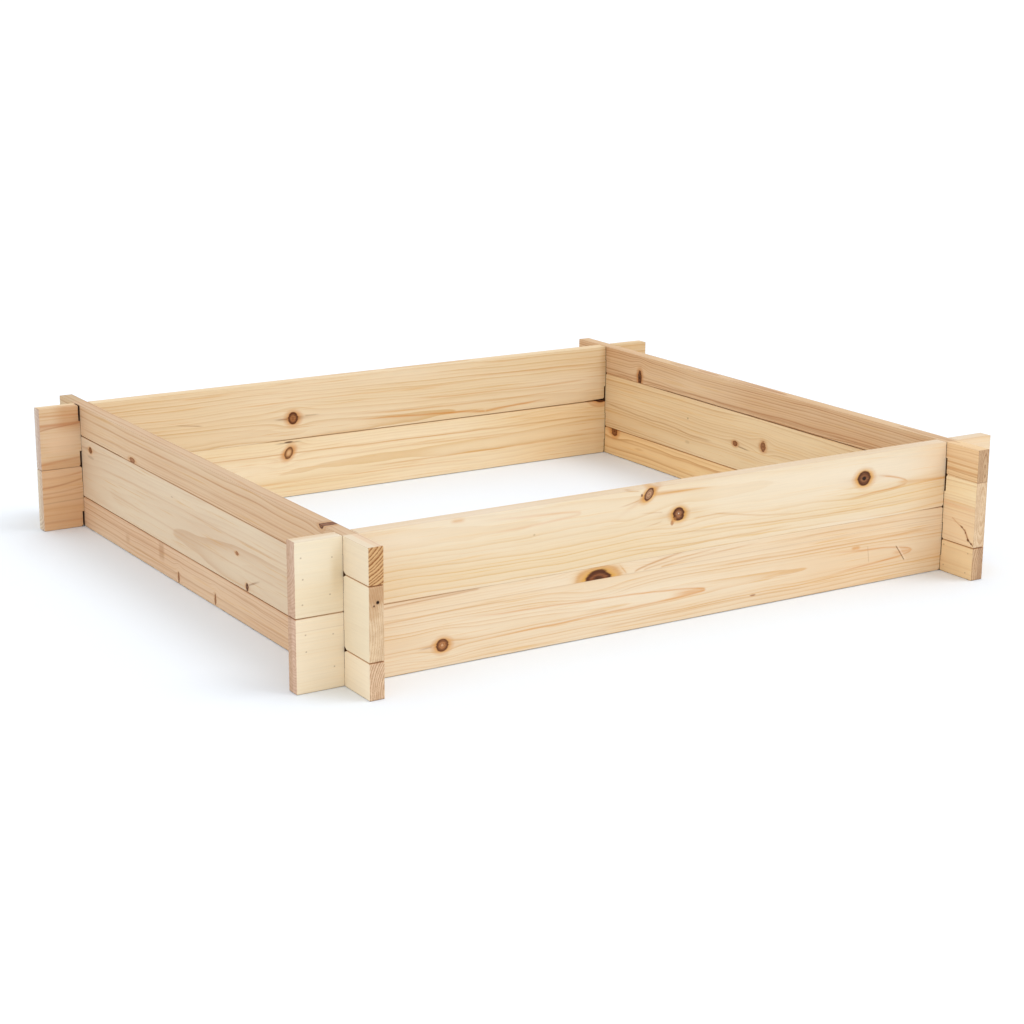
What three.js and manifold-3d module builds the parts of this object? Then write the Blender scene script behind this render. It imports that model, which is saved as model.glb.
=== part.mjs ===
// Raised garden bed: a rectangular frame of planed softwood boards that cross at the four corners like the
// logs of a cabin. Every board is notched where another crosses it, and each board end stands out past the
// corner as a stub. Nothing but the notches and the boards' own weight holds the frame together.
//
// Millimetres. +X runs to the right along the front wall, +Y from the front wall to the back wall, +Z up.
// The origin is on the ground, under the middle of the frame.
//
// The front and back walls are two full boards high. The left and right walls lie half a board out of step
// with them: a half board on the ground, a full board, and a half board on top. So the seams are at half the
// height on the front and back, and at one quarter and three quarters of it on the sides:
//
//      z / HEIGHT    front, back        left, right        board that runs through the crossing
//      1             ---------------    ---------------
//      7/8                                top half         side top board
//      3/4              upper           ---------------
//      5/8                                                 front and back upper boards
//      1/2           ---------------      middle           side middle board
//      3/8
//      1/4              lower           ---------------    front and back lower boards
//      1/8                                bottom half
//      0             ---------------    ---------------    side bottom board
//
// Each board gives up one eighth of the wall's height at a crossing, so two boards meet half way into each
// other's edge and every top and bottom edge ends flush.
import * as THREE from "three";
import { mergeVertices } from "three/addons/utils/BufferGeometryUtils.js";
import Module from "manifold-3d";

// ---- driving dimensions -------------------------------------------------------------------------------
const LENGTH_X = 1000; // front and back boards, end to end
const LENGTH_Y = 900; // left and right boards, end to end
const HEIGHT = 170; // all four walls, from the ground
const THICK = 18; // every board
const STUB = 58; // length of each board end past the outer face of the wall that it crosses
const TIGHT = 0.4; // gap beside the board that sits in a well cut notch
const EASY = 0.9; // the same where the notch was cut a little wide
const LOOSE = 2.3; // the same on the side where a notch was cut much too wide
const FLARE = [2, 2]; // how far a notch opens out at its mouth, where its corners are broken off: along, up
const WIDE_FLARE = [3.6, 2.6]; // the same at the near corner's side boards
const CRISP = [0.8, 0.8]; // the same in the walls' top edges, where the corners stayed sharp
const SEAM = 0.3; // gap between one board's edge, or notch floor, and the next
const ARRIS = 0.7; // radius of the planed long edges
const ARRIS_STEPS = 2; // curve divisions in each rounded long edge

// ---- derived dimensions -------------------------------------------------------------------------------
const EIGHTH = HEIGHT / 8; // 21.25: how deep two crossing boards reach into each other
const WALL_X = LENGTH_X / 2 - STUB - THICK / 2; // middle plane of the right wall, and of the left wall at -x
const WALL_Y = LENGTH_Y / 2 - STUB - THICK / 2; // middle plane of the back wall, and of the front wall at -y

const wasm = await Module();
wasm.setup();

// A closed three.js geometry as a solid that can be cut.
function solid(geometry) {
  const bare = geometry.clone();
  bare.deleteAttribute("normal");
  bare.deleteAttribute("uv");
  const merged = mergeVertices(bare, 1e-4);
  return new wasm.Manifold(
    new wasm.Mesh({
      numProp: 3,
      vertProperties: new Float32Array(merged.attributes.position.array),
      triVerts: new Uint32Array(merged.index.array),
    }),
  );
}

// A cut solid as a three.js geometry with flat faces.
function geometryOf(body) {
  const mesh = body.getMesh();
  const geometry = new THREE.BufferGeometry();
  const xyz = new Float32Array(mesh.numVert * 3);
  for (let i = 0; i < mesh.numVert; i++)
    for (let k = 0; k < 3; k++)
      xyz[3 * i + k] = mesh.vertProperties[mesh.numProp * i + k];
  geometry.setAttribute("position", new THREE.BufferAttribute(xyz, 3));
  geometry.setIndex(new THREE.BufferAttribute(new Uint32Array(mesh.triVerts), 1));
  const flat = geometry.toNonIndexed();
  flat.computeVertexNormals();
  return flat;
}

// The planed blank: a rectangle with eased corners, THICK wide and from low to high, run along X.
function blank(length, low, high) {
  const w = THICK / 2,
    r = ARRIS,
    s = new THREE.Shape();
  // the section's own x is the board's thickness and its own y is the height
  s.moveTo(-w + r, low);
  s.lineTo(w - r, low);
  s.absarc(w - r, low + r, r, -Math.PI / 2, 0, false);
  s.lineTo(w, high - r);
  s.absarc(w - r, high - r, r, 0, Math.PI / 2, false);
  s.lineTo(-w + r, high);
  s.absarc(-w + r, high - r, r, Math.PI / 2, Math.PI, false);
  s.lineTo(-w, low + r);
  s.absarc(-w + r, low + r, r, Math.PI, 1.5 * Math.PI, false);
  const g = new THREE.ExtrudeGeometry(s, {
    depth: length,
    bevelEnabled: false,
    steps: 1,
    curveSegments: ARRIS_STEPS,
  });
  // section x -> board y, section y -> board z, extrusion -> board x
  const turn = new THREE.Matrix4().makeBasis(
    new THREE.Vector3(0, 1, 0),
    new THREE.Vector3(0, 0, 1),
    new THREE.Vector3(1, 0, 0),
  );
  g.applyMatrix4(turn);
  g.translate(-length / 2, 0, 0);
  return solid(g);
}

// One notch through the board's thickness for a board whose middle plane is at x, with a gap before and after
// it. floor is the height of the notch's closed side and mouth that of the board's edge, where it opens out. It
// is extruded along the thickness and passes out of the mouth.
function notch(x, [before, after], floor, mouth, [fx, fz]) {
  const way = Math.sign(mouth - floor),
    a = x - THICK / 2 - before,
    b = x + THICK / 2 + after,
    s = new THREE.Shape();
  s.moveTo(a, floor);
  s.lineTo(b, floor);
  s.lineTo(b, mouth - way * fz);
  s.lineTo(b + fx, mouth);
  s.lineTo(b + fx, mouth + way * 8);
  s.lineTo(a - fx, mouth + way * 8);
  s.lineTo(a - fx, mouth);
  s.lineTo(a, mouth - way * fz);
  s.closePath();
  const g = new THREE.ExtrudeGeometry(s, {
    depth: THICK * 3,
    bevelEnabled: false,
    steps: 1,
  });
  // outline x -> board x, outline y -> board z, extrusion -> board -y
  g.rotateX(Math.PI / 2);
  g.translate(0, THICK * 1.5, 0);
  return solid(g);
}

// A board along X with its middle plane on y = 0, from low to high. crossing is the distance from its middle
// to the middle of each wall that it crosses. under and over are the heights of the notch roofs in its bottom
// edge and of the notch floors in its top edge, or null where that edge is whole. gaps are those of its notches:
// [under at -x, under at +x, over at -x, over at +x], each [before, after]. flares are in the same order.
function boardGeometry(length, crossing, [low, high, under, over], gaps, flares) {
  let body = blank(length, low, high);
  [-1, 1].forEach((side, i) => {
    const x = side * crossing;
    if (under !== null)
      body = body.subtract(notch(x, gaps[i], under, low, flares[i]));
    if (over !== null)
      body = body.subtract(notch(x, gaps[2 + i], over, high, flares[2 + i]));
  });
  return geometryOf(body);
}

function wood(color) {
  return new THREE.MeshStandardMaterial({ color, roughness: 0.62, metalness: 0 });
}

const S = SEAM / 2;
const half = HEIGHT / 2,
  quarter = HEIGHT / 4;

// Heights of each kind of board: low, high, notch roof in the bottom edge, notch floor in the top edge.
const LOWER = [0, half - S, EIGHTH + S, 3 * EIGHTH - S];
const UPPER = [half + S, HEIGHT, 5 * EIGHTH + S, 7 * EIGHTH - S];
const SIDE_BOTTOM = [0, quarter - S, null, EIGHTH - S];
const SIDE_MIDDLE = [quarter + S, 3 * quarter - S, 3 * EIGHTH + S, 5 * EIGHTH - S];
const SIDE_TOP = [3 * quarter + S, HEIGHT, 7 * EIGHTH + S, null];

const CLOSE = [TIGHT, TIGHT];
const NONE = null; // no notch in that edge

function longBoard(name, heights, gaps, color) {
  const over = heights[1] === HEIGHT ? CRISP : FLARE;
  const mesh = new THREE.Mesh(
    boardGeometry(LENGTH_X, WALL_X, heights, gaps, [FLARE, FLARE, over, over]),
    wood(color),
  );
  mesh.name = name;
  return mesh;
}

function sideBoard(name, heights, gaps, nearFlare, color) {
  const mesh = new THREE.Mesh(
    boardGeometry(LENGTH_Y, WALL_Y, heights, gaps, [nearFlare, FLARE, nearFlare, FLARE]),
    wood(color),
  );
  mesh.name = name;
  return mesh;
}

// ---- front and back walls -----------------------------------------------------------------------------
const frontWall = new THREE.Group();
frontWall.position.set(0, -WALL_Y, 0);
frontWall.add(
  longBoard("front_board_lower", LOWER, [CLOSE, CLOSE, CLOSE, CLOSE], 0xedd4b4),
  longBoard("front_board_upper", UPPER, [CLOSE, CLOSE, CLOSE, CLOSE], 0xefd7b5),
);

const backWall = new THREE.Group();
backWall.position.set(0, WALL_Y, 0);
backWall.add(
  longBoard(
    "back_board_lower",
    LOWER,
    [[LOOSE, TIGHT], [EASY, TIGHT], CLOSE, CLOSE],
    0xe9cba2,
  ),
  longBoard(
    "back_board_upper",
    UPPER,
    [[LOOSE, TIGHT], [LOOSE, TIGHT], [LOOSE, TIGHT], CLOSE],
    0xe7c9a1,
  ),
);

// ---- left and right walls -----------------------------------------------------------------------------
const leftWall = new THREE.Group();
leftWall.position.set(-WALL_X, 0, 0);
leftWall.rotation.z = Math.PI / 2;
leftWall.add(
  sideBoard("left_board_bottom", SIDE_BOTTOM, [NONE, NONE, CLOSE, CLOSE], WIDE_FLARE, 0xd2b191),
  sideBoard("left_board_middle", SIDE_MIDDLE, [CLOSE, CLOSE, CLOSE, CLOSE], WIDE_FLARE, 0xd9c2a6),
  sideBoard("left_board_top", SIDE_TOP, [CLOSE, CLOSE, NONE, NONE], WIDE_FLARE, 0xd5b695),
);

const rightWall = new THREE.Group();
rightWall.position.set(WALL_X, 0, 0);
rightWall.rotation.z = Math.PI / 2;
rightWall.add(
  sideBoard("right_board_bottom", SIDE_BOTTOM, [NONE, NONE, [EASY, TIGHT], [EASY, TIGHT]], FLARE, 0xd3b084),
  sideBoard(
    "right_board_middle",
    SIDE_MIDDLE,
    [[EASY, TIGHT], [EASY, TIGHT], [LOOSE, TIGHT], [EASY, TIGHT]],
    FLARE,
    0xd6b88e,
  ),
  sideBoard("right_board_top", SIDE_TOP, [[LOOSE, TIGHT], [EASY, TIGHT], NONE, NONE], FLARE, 0xcfa981),
);

const bed = new THREE.Group();
bed.add(frontWall, backWall, leftWall, rightWall);

export default bed;
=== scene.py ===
# Raised garden bed of notched softwood boards: the boards' meshes, their wood, a pale floor, soft studio light and
# the camera. All lengths in the board tables are millimetres in a board's own frame: x along the grain (world X for
# the front and back walls, world Y for the side walls), y through the thickness (-9 is the face towards world -Y or
# world -X) and z up from the ground.
import math

import bpy
import numpy as np
from mathutils import Matrix, Vector
from mathutils.geometry import delaunay_2d_cdt


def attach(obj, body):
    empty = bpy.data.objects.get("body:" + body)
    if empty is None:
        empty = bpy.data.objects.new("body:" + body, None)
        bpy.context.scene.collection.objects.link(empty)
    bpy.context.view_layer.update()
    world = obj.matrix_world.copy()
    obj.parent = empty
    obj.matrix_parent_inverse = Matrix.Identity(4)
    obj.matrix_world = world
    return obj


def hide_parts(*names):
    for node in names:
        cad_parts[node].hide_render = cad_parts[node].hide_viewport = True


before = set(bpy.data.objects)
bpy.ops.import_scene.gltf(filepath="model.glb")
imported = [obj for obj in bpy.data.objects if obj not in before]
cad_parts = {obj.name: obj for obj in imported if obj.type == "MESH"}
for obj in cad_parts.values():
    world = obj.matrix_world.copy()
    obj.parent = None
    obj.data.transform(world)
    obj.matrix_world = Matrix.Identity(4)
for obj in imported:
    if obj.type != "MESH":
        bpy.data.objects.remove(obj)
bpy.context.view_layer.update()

# ---- camera -------------------------------------------------------------------------------------------
az, el, roll = map(math.radians, (-32.131, 14.944, 0.356))
back = Vector((math.sin(az) * math.cos(el), -math.cos(az) * math.cos(el), math.sin(el)))
right = Vector((math.cos(az), math.sin(az), 0))
up = back.cross(right)
c, s = math.cos(roll), math.sin(roll)
view = Matrix((c * right + s * up, -s * right + c * up, back)).transposed().to_4x4()
view.translation = (-1.4627, -2.3564, 0.7859)
cam_data = bpy.data.cameras.new("camera")
cam_data.sensor_fit = "HORIZONTAL"
cam_data.sensor_width = 36
cam_data.lens = 2150.3 * 36 / 1024
cam_data.clip_start = 0.05
cam_data.clip_end = 400
cam_data.dof.use_dof = False
camera = bpy.data.objects.new("camera", cam_data)
camera.matrix_world = view
bpy.context.scene.collection.objects.link(camera)
bpy.context.scene.camera = camera

# ---- dimensions, as in the CAD model, but for the near corner's slit and the openings beside it ---------
LENGTH_X, LENGTH_Y, HEIGHT, THICK = 1000.0, 900.0, 170.0, 18.0
STUB, SEAM = 58.0, 0.3
TIGHT, EASY, LOOSE = 0.4, 0.9, 2.3  # gaps beside the board that sits in a notch
CLOSE = (TIGHT, TIGHT)
SNUG = 0.1
FLARE, WIDE_FLARE, CRISP = (2.0, 2.0), (5.4, 3.0), (0.8, 0.8)  # how far a notch opens out at its mouth: along, up
EIGHTH = HEIGHT / 8
WALL_X = LENGTH_X / 2 - STUB - THICK / 2
WALL_Y = LENGTH_Y / 2 - STUB - THICK / 2
S = SEAM / 2
H = HEIGHT / 2
Q = HEIGHT / 4
LOWER = (0, H - S, EIGHTH + S, 3 * EIGHTH - S)
UPPER = (H + S, HEIGHT, 5 * EIGHTH + S, 7 * EIGHTH - S)
BOTTOM = (0, Q - S, None, EIGHTH - S)
MIDDLE = (Q + S, 3 * Q - S, 3 * EIGHTH + S, 5 * EIGHTH - S)
TOP = (3 * Q + S, HEIGHT, 7 * EIGHTH + S, None)


# ---- meshes -------------------------------------------------------------------------------------------
def wave(seed, x, z=0.0, cell=60.0, octaves=3):
    """A smooth repeatable variation between about -1 and 1, as a sum of sines."""
    rng = np.random.default_rng(seed)
    total = 0.0 * x
    norm = 0.0
    for o in range(octaves):
        amp = 0.55**o
        for _ in range(3):
            a = rng.uniform(0, 2 * math.pi)
            k = 2 * math.pi / cell * 1.9**o * rng.uniform(0.7, 1.3)
            total = total + amp * np.sin(k * (x * math.cos(a * 0.35) + z * math.sin(a)) + rng.uniform(0, 6.283))
            norm += amp * 0.75
    return total / norm


def notches(spec):
    """Each notch as (x of its low side, x of its high side, height of its closed side, flare, upwards)."""
    low, high, under, over = spec["levels"]
    cross = WALL_X if spec["axis"] == "x" else WALL_Y
    found = []
    for i, side in enumerate((-1, 1)):
        for level, j in ((under, i), (over, i + 2)):
            if level is not None:
                g = spec["gaps"][j]
                flare = spec.get("flare", FLARE) if i == 0 else FLARE
                if level == UPPER[3] and high == HEIGHT:
                    flare = CRISP
                x = side * cross
                found.append((x - THICK / 2 - g[0], x + THICK / 2 + g[1], level, flare, j > 1))
    return found


def corners(spec, length):
    """The board's side view as (x, z, kind) corners, anticlockwise. kind is what the edge that starts there is."""
    low, high, under, over = spec["levels"]
    e = length / 2
    pts = [(-e, low, "long")]
    for a, b, level, (fx, fz), upwards in sorted(notches(spec)):
        if not upwards:
            pts += [
                (a - fx, low, "flare"),
                (a, low + fz, "cheek"),
                (a, level, "floor"),
                (b, level, "cheek"),
                (b, low + fz, "flare"),
                (b + fx, low, "long"),
            ]
    pts += [(e, low, "end"), (e, high, "long")]
    for a, b, level, (fx, fz), upwards in sorted(notches(spec), reverse=True):
        if upwards:
            pts += [
                (b + fx, high, "flare"),
                (b, high - fz, "cheek"),
                (b, level, "floor"),
                (a, level, "cheek"),
                (a, high - fz, "flare"),
                (a - fx, high, "long"),
            ]
    pts += [(-e, high, "end")]
    return pts


STEP = {"long": 3.2, "flare": 1.0, "cheek": 1.6, "floor": 2.1, "end": 0.85, "round": 9.0}


def outline(pts, radius):
    """Samples along the corners' polygon, with the four outer corners rounded: points, inward moves and kinds."""
    n = len(pts)
    xs = []
    for i, (x, z, kind) in enumerate(pts):
        before = np.array(pts[i - 1][:2])
        here = np.array((x, z))
        after = np.array(pts[(i + 1) % n][:2])
        outer = "end" in (kind, pts[i - 1][2])
        if outer:
            a = (before - here) / np.linalg.norm(before - here)
            b = (after - here) / np.linalg.norm(after - here)
            mid = here + (a + b) * radius
            for k in range(4):
                t = math.pi / 2 * k / 3
                p = mid - radius * (b * math.cos(t) + a * math.sin(t))
                xs.append((p[0], p[1], "round" if k < 3 else kind))
        else:
            xs.append((x, z, kind))
    pts = xs
    n = len(pts)
    P = np.array([p[:2] for p in pts])
    D = np.roll(P, -1, 0) - P
    L = np.linalg.norm(D, axis=1)
    D /= L[:, None]
    N = np.stack([-D[:, 1], D[:, 0]], 1)  # inward for an anticlockwise outline
    points, moves, kinds, along = [], [], [], []
    for i in range(n):
        j = i - 1
        miter = (N[i] + N[j]) / (1 + N[i] @ N[j])
        points.append(P[i])
        moves.append(miter)
        kinds.append(pts[i][2])
        k = max(1, int(math.ceil(L[i] / STEP[pts[i][2]])))
        for m in range(1, k):
            points.append(P[i] + D[i] * L[i] * m / k)
            moves.append(N[i])
            kinds.append(pts[i][2])
    return np.array(points), np.array(moves), kinds


def beside(path, q):
    """How far q lies from a path of points, and how far along it, from 0 to 1."""
    a, b = path[:-1], path[1:]
    ab = b - a
    t = (((np.asarray(q) - a) * ab).sum(1) / (ab * ab).sum(1)).clip(0, 1)
    d = np.linalg.norm(np.asarray(q) - a - ab * t[:, None], axis=1)
    i = int(d.argmin())
    return float(d[i]), (i + float(t[i])) / len(ab)


def build_board(name, spec):
    length = LENGTH_X if spec["axis"] == "x" else LENGTH_Y
    low, high, under, over = spec["levels"]
    seed = spec["seed"]
    P, M, kinds = outline(corners(spec, length), 1.1)
    n = len(P)
    h = THICK / 2
    X, Z = P[:, 0], P[:, 1]
    # the arris is planed lightly, and its radius drifts along the board
    arris = 0.34 + 0.14 * wave(seed + 1, X, Z, 90)
    for key, sign in (("top_arris", 1), ("bottom_arris", -1)):
        if key in spec:
            edge = high if sign > 0 else low
            at = np.abs(Z - edge) < 0.01
            arris = np.where(at, np.interp(X, *zip(*spec[key])) + 0.06 * wave(seed + 2, X, 0, 50), arris)
    is_end = np.array([k in ("end", "round") for k in kinds])
    is_cut = np.array([k in ("cheek", "floor", "flare") for k in kinds])
    arris = np.where(is_end, 0.34 + 0.1 * wave(seed + 3, X, Z, 14), arris)
    arris = np.where(is_cut, 0.2 + 0.1 * wave(seed + 4, X, Z, 9), arris).clip(0.12, 0.75)
    if spec["gaps"][2] and spec["gaps"][2][0] == SNUG:
        arris = np.where(is_cut & (X < -WALL_X), 0.06, arris)
    rings = []
    for t in (0, 30, 60):
        a = math.radians(t)
        rings.append((1 - math.sin(a), 0.0, 1 - math.cos(a)))
    cuts = 20
    bands = [(r[0], -h, r[2]) for r in rings]
    flat = np.linspace(-1, 1, cuts + 1)
    V = []
    for inset, y0, rise in bands:
        V.append(np.stack([X + M[:, 0] * arris * inset, -h + arris * rise, Z + M[:, 1] * arris * inset], 1))
    for f in flat:
        V.append(np.stack([X, f * (h - arris), Z], 1))
    for inset, y0, rise in bands[::-1]:
        V.append(np.stack([X + M[:, 0] * arris * inset, h - arris * rise, Z + M[:, 1] * arris * inset], 1))
    R = len(V)
    verts = np.concatenate(V)
    idx = np.arange(n)
    nxt = np.roll(idx, -1)
    faces, cut_of = [], []
    kind_value = {"long": 0.0, "flare": 0.7, "cheek": 0.8, "floor": 0.4, "end": 1.0, "round": 1.0}
    cut_list = np.array([0.1 if k == "flare" and q[1] > HEIGHT - 1 else kind_value[k] for k, q in zip(kinds, P)])
    for r in range(R - 1):
        a, b = r * n, (r + 1) * n
        quads = np.stack([a + idx, a + nxt, b + nxt, b + idx], 1)
        faces += quads.tolist()
        cut_of += cut_list.tolist()
    # the two wide faces: a grid of points, closer around each knot
    grid = []
    for x in np.arange(-length / 2 + 3.3, length / 2 - 2, 5.0):
        for z in np.arange(low + 3, high - 2, 3.9):
            grid.append((x, z))
    grid = np.array(grid)
    for side, first in ((-1, 0), (1, (R - 1) * n)):
        y = side * h
        pts = grid
        for k in spec["knots"]:
            kx, kz, kr = k["x"] + k.get("tx", 0) * (y + h), k["z"] + k.get("tz", 0) * (y + h), k["r"]
            kr = kr * (1 + k.get("taper", 0) * (y + h))
            if kr < 2.5:
                continue
            ring = np.array(
                [
                    (kx + kr * q * math.cos(t + q), kz + kr * q * k.get("aspect", 1) * math.sin(t + q))
                    for q in (0.15, 0.4, 0.62, 0.78, 0.9, 1.0, 1.12, 1.3, 1.6)
                    for t in np.linspace(0, 2 * math.pi, 22, endpoint=False)
                ]
            )
            d = np.hypot((pts[:, 0] - kx) / kr, (pts[:, 1] - kz) / (kr * k.get("aspect", 1)))
            pts = np.concatenate([pts[d > 1.75], ring])
        for gr in spec.get("grooves", ()) if side < 0 else ():
            path = np.array(gr["path"], dtype=float)
            far = np.array([beside(path, q)[0] for q in pts])
            near_path = []
            for a, b in zip(path, path[1:]):
                n_to = (b - a) / np.linalg.norm(b - a)
                for t in np.arange(0, np.linalg.norm(b - a), 0.9):
                    for o in (-1.9, -1.0, -0.5, 0, 0.5, 1.0, 1.9):
                        near_path.append(a + n_to * t + np.array((-n_to[1], n_to[0])) * o)
            pts = np.concatenate([pts[far > 2.6], near_path])
        inside = (pts[:, 1] > low + 1.6) & (pts[:, 1] < high - 1.6) & (np.abs(pts[:, 0]) < length / 2 - 1.6)
        for a, b, level, (fx, fz), upwards in notches(spec):
            if upwards:
                wide = 1.3 + (fx + 0.6) * (pts[:, 1] > high - fz - 1)
                past = pts[:, 1] > level - 1.3
            else:
                wide = 1.3 + (fx + 0.6) * (pts[:, 1] < low + fz + 1)
                past = pts[:, 1] < level + 1.3
            inside &= ~((pts[:, 0] > a - wide) & (pts[:, 0] < b + wide) & past)
        pts = pts[inside]
        rim = verts[first : first + n][:, (0, 2)]
        two = [Vector(p) for p in rim] + [Vector(p) for p in pts]
        out_v, _, out_f, orig, _, _ = delaunay_2d_cdt(two, [(i, (i + 1) % n) for i in range(n)], [], 1, 1e-5)
        table = []
        extra = []
        base = len(verts)
        for i, o in enumerate(orig):
            if o and min(o) < n:
                table.append(first + min(o))
            else:
                table.append(base + len(extra))
                extra.append((out_v[i][0], y, out_v[i][1]))
        verts = np.concatenate([verts, np.array(extra)])
        for f in out_f:
            t = [table[i] for i in f]
            faces.append(t if side < 0 else t[::-1])
            cut_of.append(0.0)
    # the outline runs anticlockwise seen from -y, so the bands and the -y face are turned out together
    x, y, z = verts.T.copy()
    # the edges' own waviness, always inwards
    mid = (low + high) / 2
    reach = min(14.0, (high - low) / 3)
    for key, edge, way, sd in (("top_dip", high, -1, 11), ("bottom_dip", low, 1, 12)):
        w = np.clip(1 - np.abs(edge - z) / reach, 0, 1)
        w = w * w * (3 - 2 * w)
        depth = 0.05 * (1 + wave(seed + sd, x, 0, 170))
        if key in spec:
            depth = depth + np.interp(x, *zip(*spec[key]))
        z = z + way * depth * w
    # the wide faces: a slight cup and planer ripple, pressed in only
    press = 0.09 * (1 + wave(seed + 21, x, z, 130)) + 0.015 * (1 + wave(seed + 22, x, z * 0.2, 11, 2))
    for k in spec["knots"]:
        for side in (-1, 1):
            kx = k["x"] + k.get("tx", 0) * (side * h + h)
            kz = k["z"] + k.get("tz", 0) * (side * h + h)
            kr = k["r"] * (1 + k.get("taper", 0) * (side * h + h))
            if kr < 2.5:
                continue
            d = np.hypot((x - kx) / kr, (z - kz) / (kr * k.get("aspect", 1)))
            groove = 0.3 * np.exp(-(((d - 0.97) / 0.09) ** 2)) + 0.12 * np.exp(-((d / 0.25) ** 2))
            swell = -0.08 * np.exp(-(((d - 0.6) / 0.25) ** 2)) - 0.06 * np.exp(-(((d - 1.35) / 0.3) ** 2))
            press = press + np.where(y * side > 0, groove + swell, 0)
    for gr in spec.get("grooves", ()):
        path = np.array(gr["path"], dtype=float)
        at = np.flatnonzero((y < -h + 0.01) & (np.abs(x - path[:, 0].mean()) < 40))
        for i in at:
            d, t = beside(path, (x[i], z[i]))
            press[i] += gr["deep"] * math.exp(-((d / gr["wide"]) ** 2)) * math.sin(math.pi * (0.08 + 0.84 * t)) ** 0.7
    y = y * (1 - press.clip(0, 1.6) / h)
    # the sawn ends: fine saw ripple and the harder rings standing proud, pressed in only
    e = length / 2
    pith = spec["wood"]["pith"]
    rad = np.hypot(y - pith[0] - pith[2] * x, z - pith[1] - pith[3] * x)
    soft = 0.5 + 0.5 * np.cos(2 * math.pi * rad / spec["wood"]["spacing"])
    fuzz = np.sin(x * 0 + y * 12.9898 + z * 78.233) * 43758.5453
    fuzz = fuzz - np.floor(fuzz)
    into = 0.1 * soft + 0.07 * (1 + wave(seed + 31, y * 3, z, 5, 2)) + 0.1 * fuzz
    for cr in spec.get("cracks", ()):
        a, b = np.array(cr["a"]), np.array(cr["b"])
        ab = b - a
        t = (((y - a[0]) * ab[0] + (z - a[1]) * ab[1]) / (ab @ ab)).clip(0, 1)
        wob = 0.3 * np.sin(t * 9 + cr["a"][0])
        d = np.hypot(y - a[0] - ab[0] * t + wob, z - a[1] - ab[1] * t)
        deep = cr["deep"] * np.exp(-((d / cr["wide"]) ** 2)) * (0.35 + 0.65 * np.sin(math.pi * t) ** 0.5)
        into = into + np.where(x * cr["end"] > 0, deep, 0)
    w = np.clip(1 - (e - np.abs(x)) / 4.0, 0, 1)
    x = x - np.sign(x) * into.clip(0.01) * w * w * np.where(np.abs(x) > e - 1.2, 1, 0.6)
    # notch cheeks and floors keep the saw's marks
    local = np.stack([x, y, z], 1) / 1000
    if spec["axis"] == "x":
        world = np.stack([local[:, 0], local[:, 1] + spec["wall"] / 1000, local[:, 2]], 1)
    else:
        world = np.stack([local[:, 1] + spec["wall"] / 1000, local[:, 0], local[:, 2]], 1)
        faces = [f[::-1] for f in faces]
    mesh = bpy.data.meshes.new(name + "_wood")
    mesh.from_pydata(world.tolist(), [], faces)
    mesh.validate()
    mesh.update()
    mark = mesh.attributes.new("crosscut", "FLOAT", "FACE")
    mark.data.foreach_set("value", np.array(cut_of[: len(mesh.polygons)], dtype=np.float32))
    mesh.shade_smooth()
    mesh.set_sharp_from_angle(angle=math.radians(42))
    ob = bpy.data.objects.new(name + "_wood", mesh)
    bpy.context.scene.collection.objects.link(ob)
    mesh.materials.append(wood_material(name, spec))
    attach(ob, spec["body"])
    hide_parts(name)
    "pine_" + name.split("_")[0]
    return ob


# ---- node shorthand -----------------------------------------------------------------------------------
def linear(rgb):
    """An 8 bit sRGB colour as linear light."""
    v = [x / 255 for x in rgb]
    return tuple(x / 12.92 if x <= 0.04045 else ((x + 0.055) / 1.055) ** 2.4 for x in v)


class Num:
    """A number that a shader works out, with Python's arithmetic."""

    def __init__(self, graph, socket):
        self.g, self.s = graph, socket

    def __add__(self, o):
        return self.g.math("ADD", self, o)

    __radd__ = __add__

    def __sub__(self, o):
        return self.g.math("SUBTRACT", self, o)

    def __rsub__(self, o):
        return self.g.math("SUBTRACT", o, self)

    def __mul__(self, o):
        return self.g.math("MULTIPLY", self, o)

    __rmul__ = __mul__

    def __truediv__(self, o):
        return self.g.math("DIVIDE", self, o)

    def __neg__(self):
        return self.g.math("MULTIPLY", self, -1.0)


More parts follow.
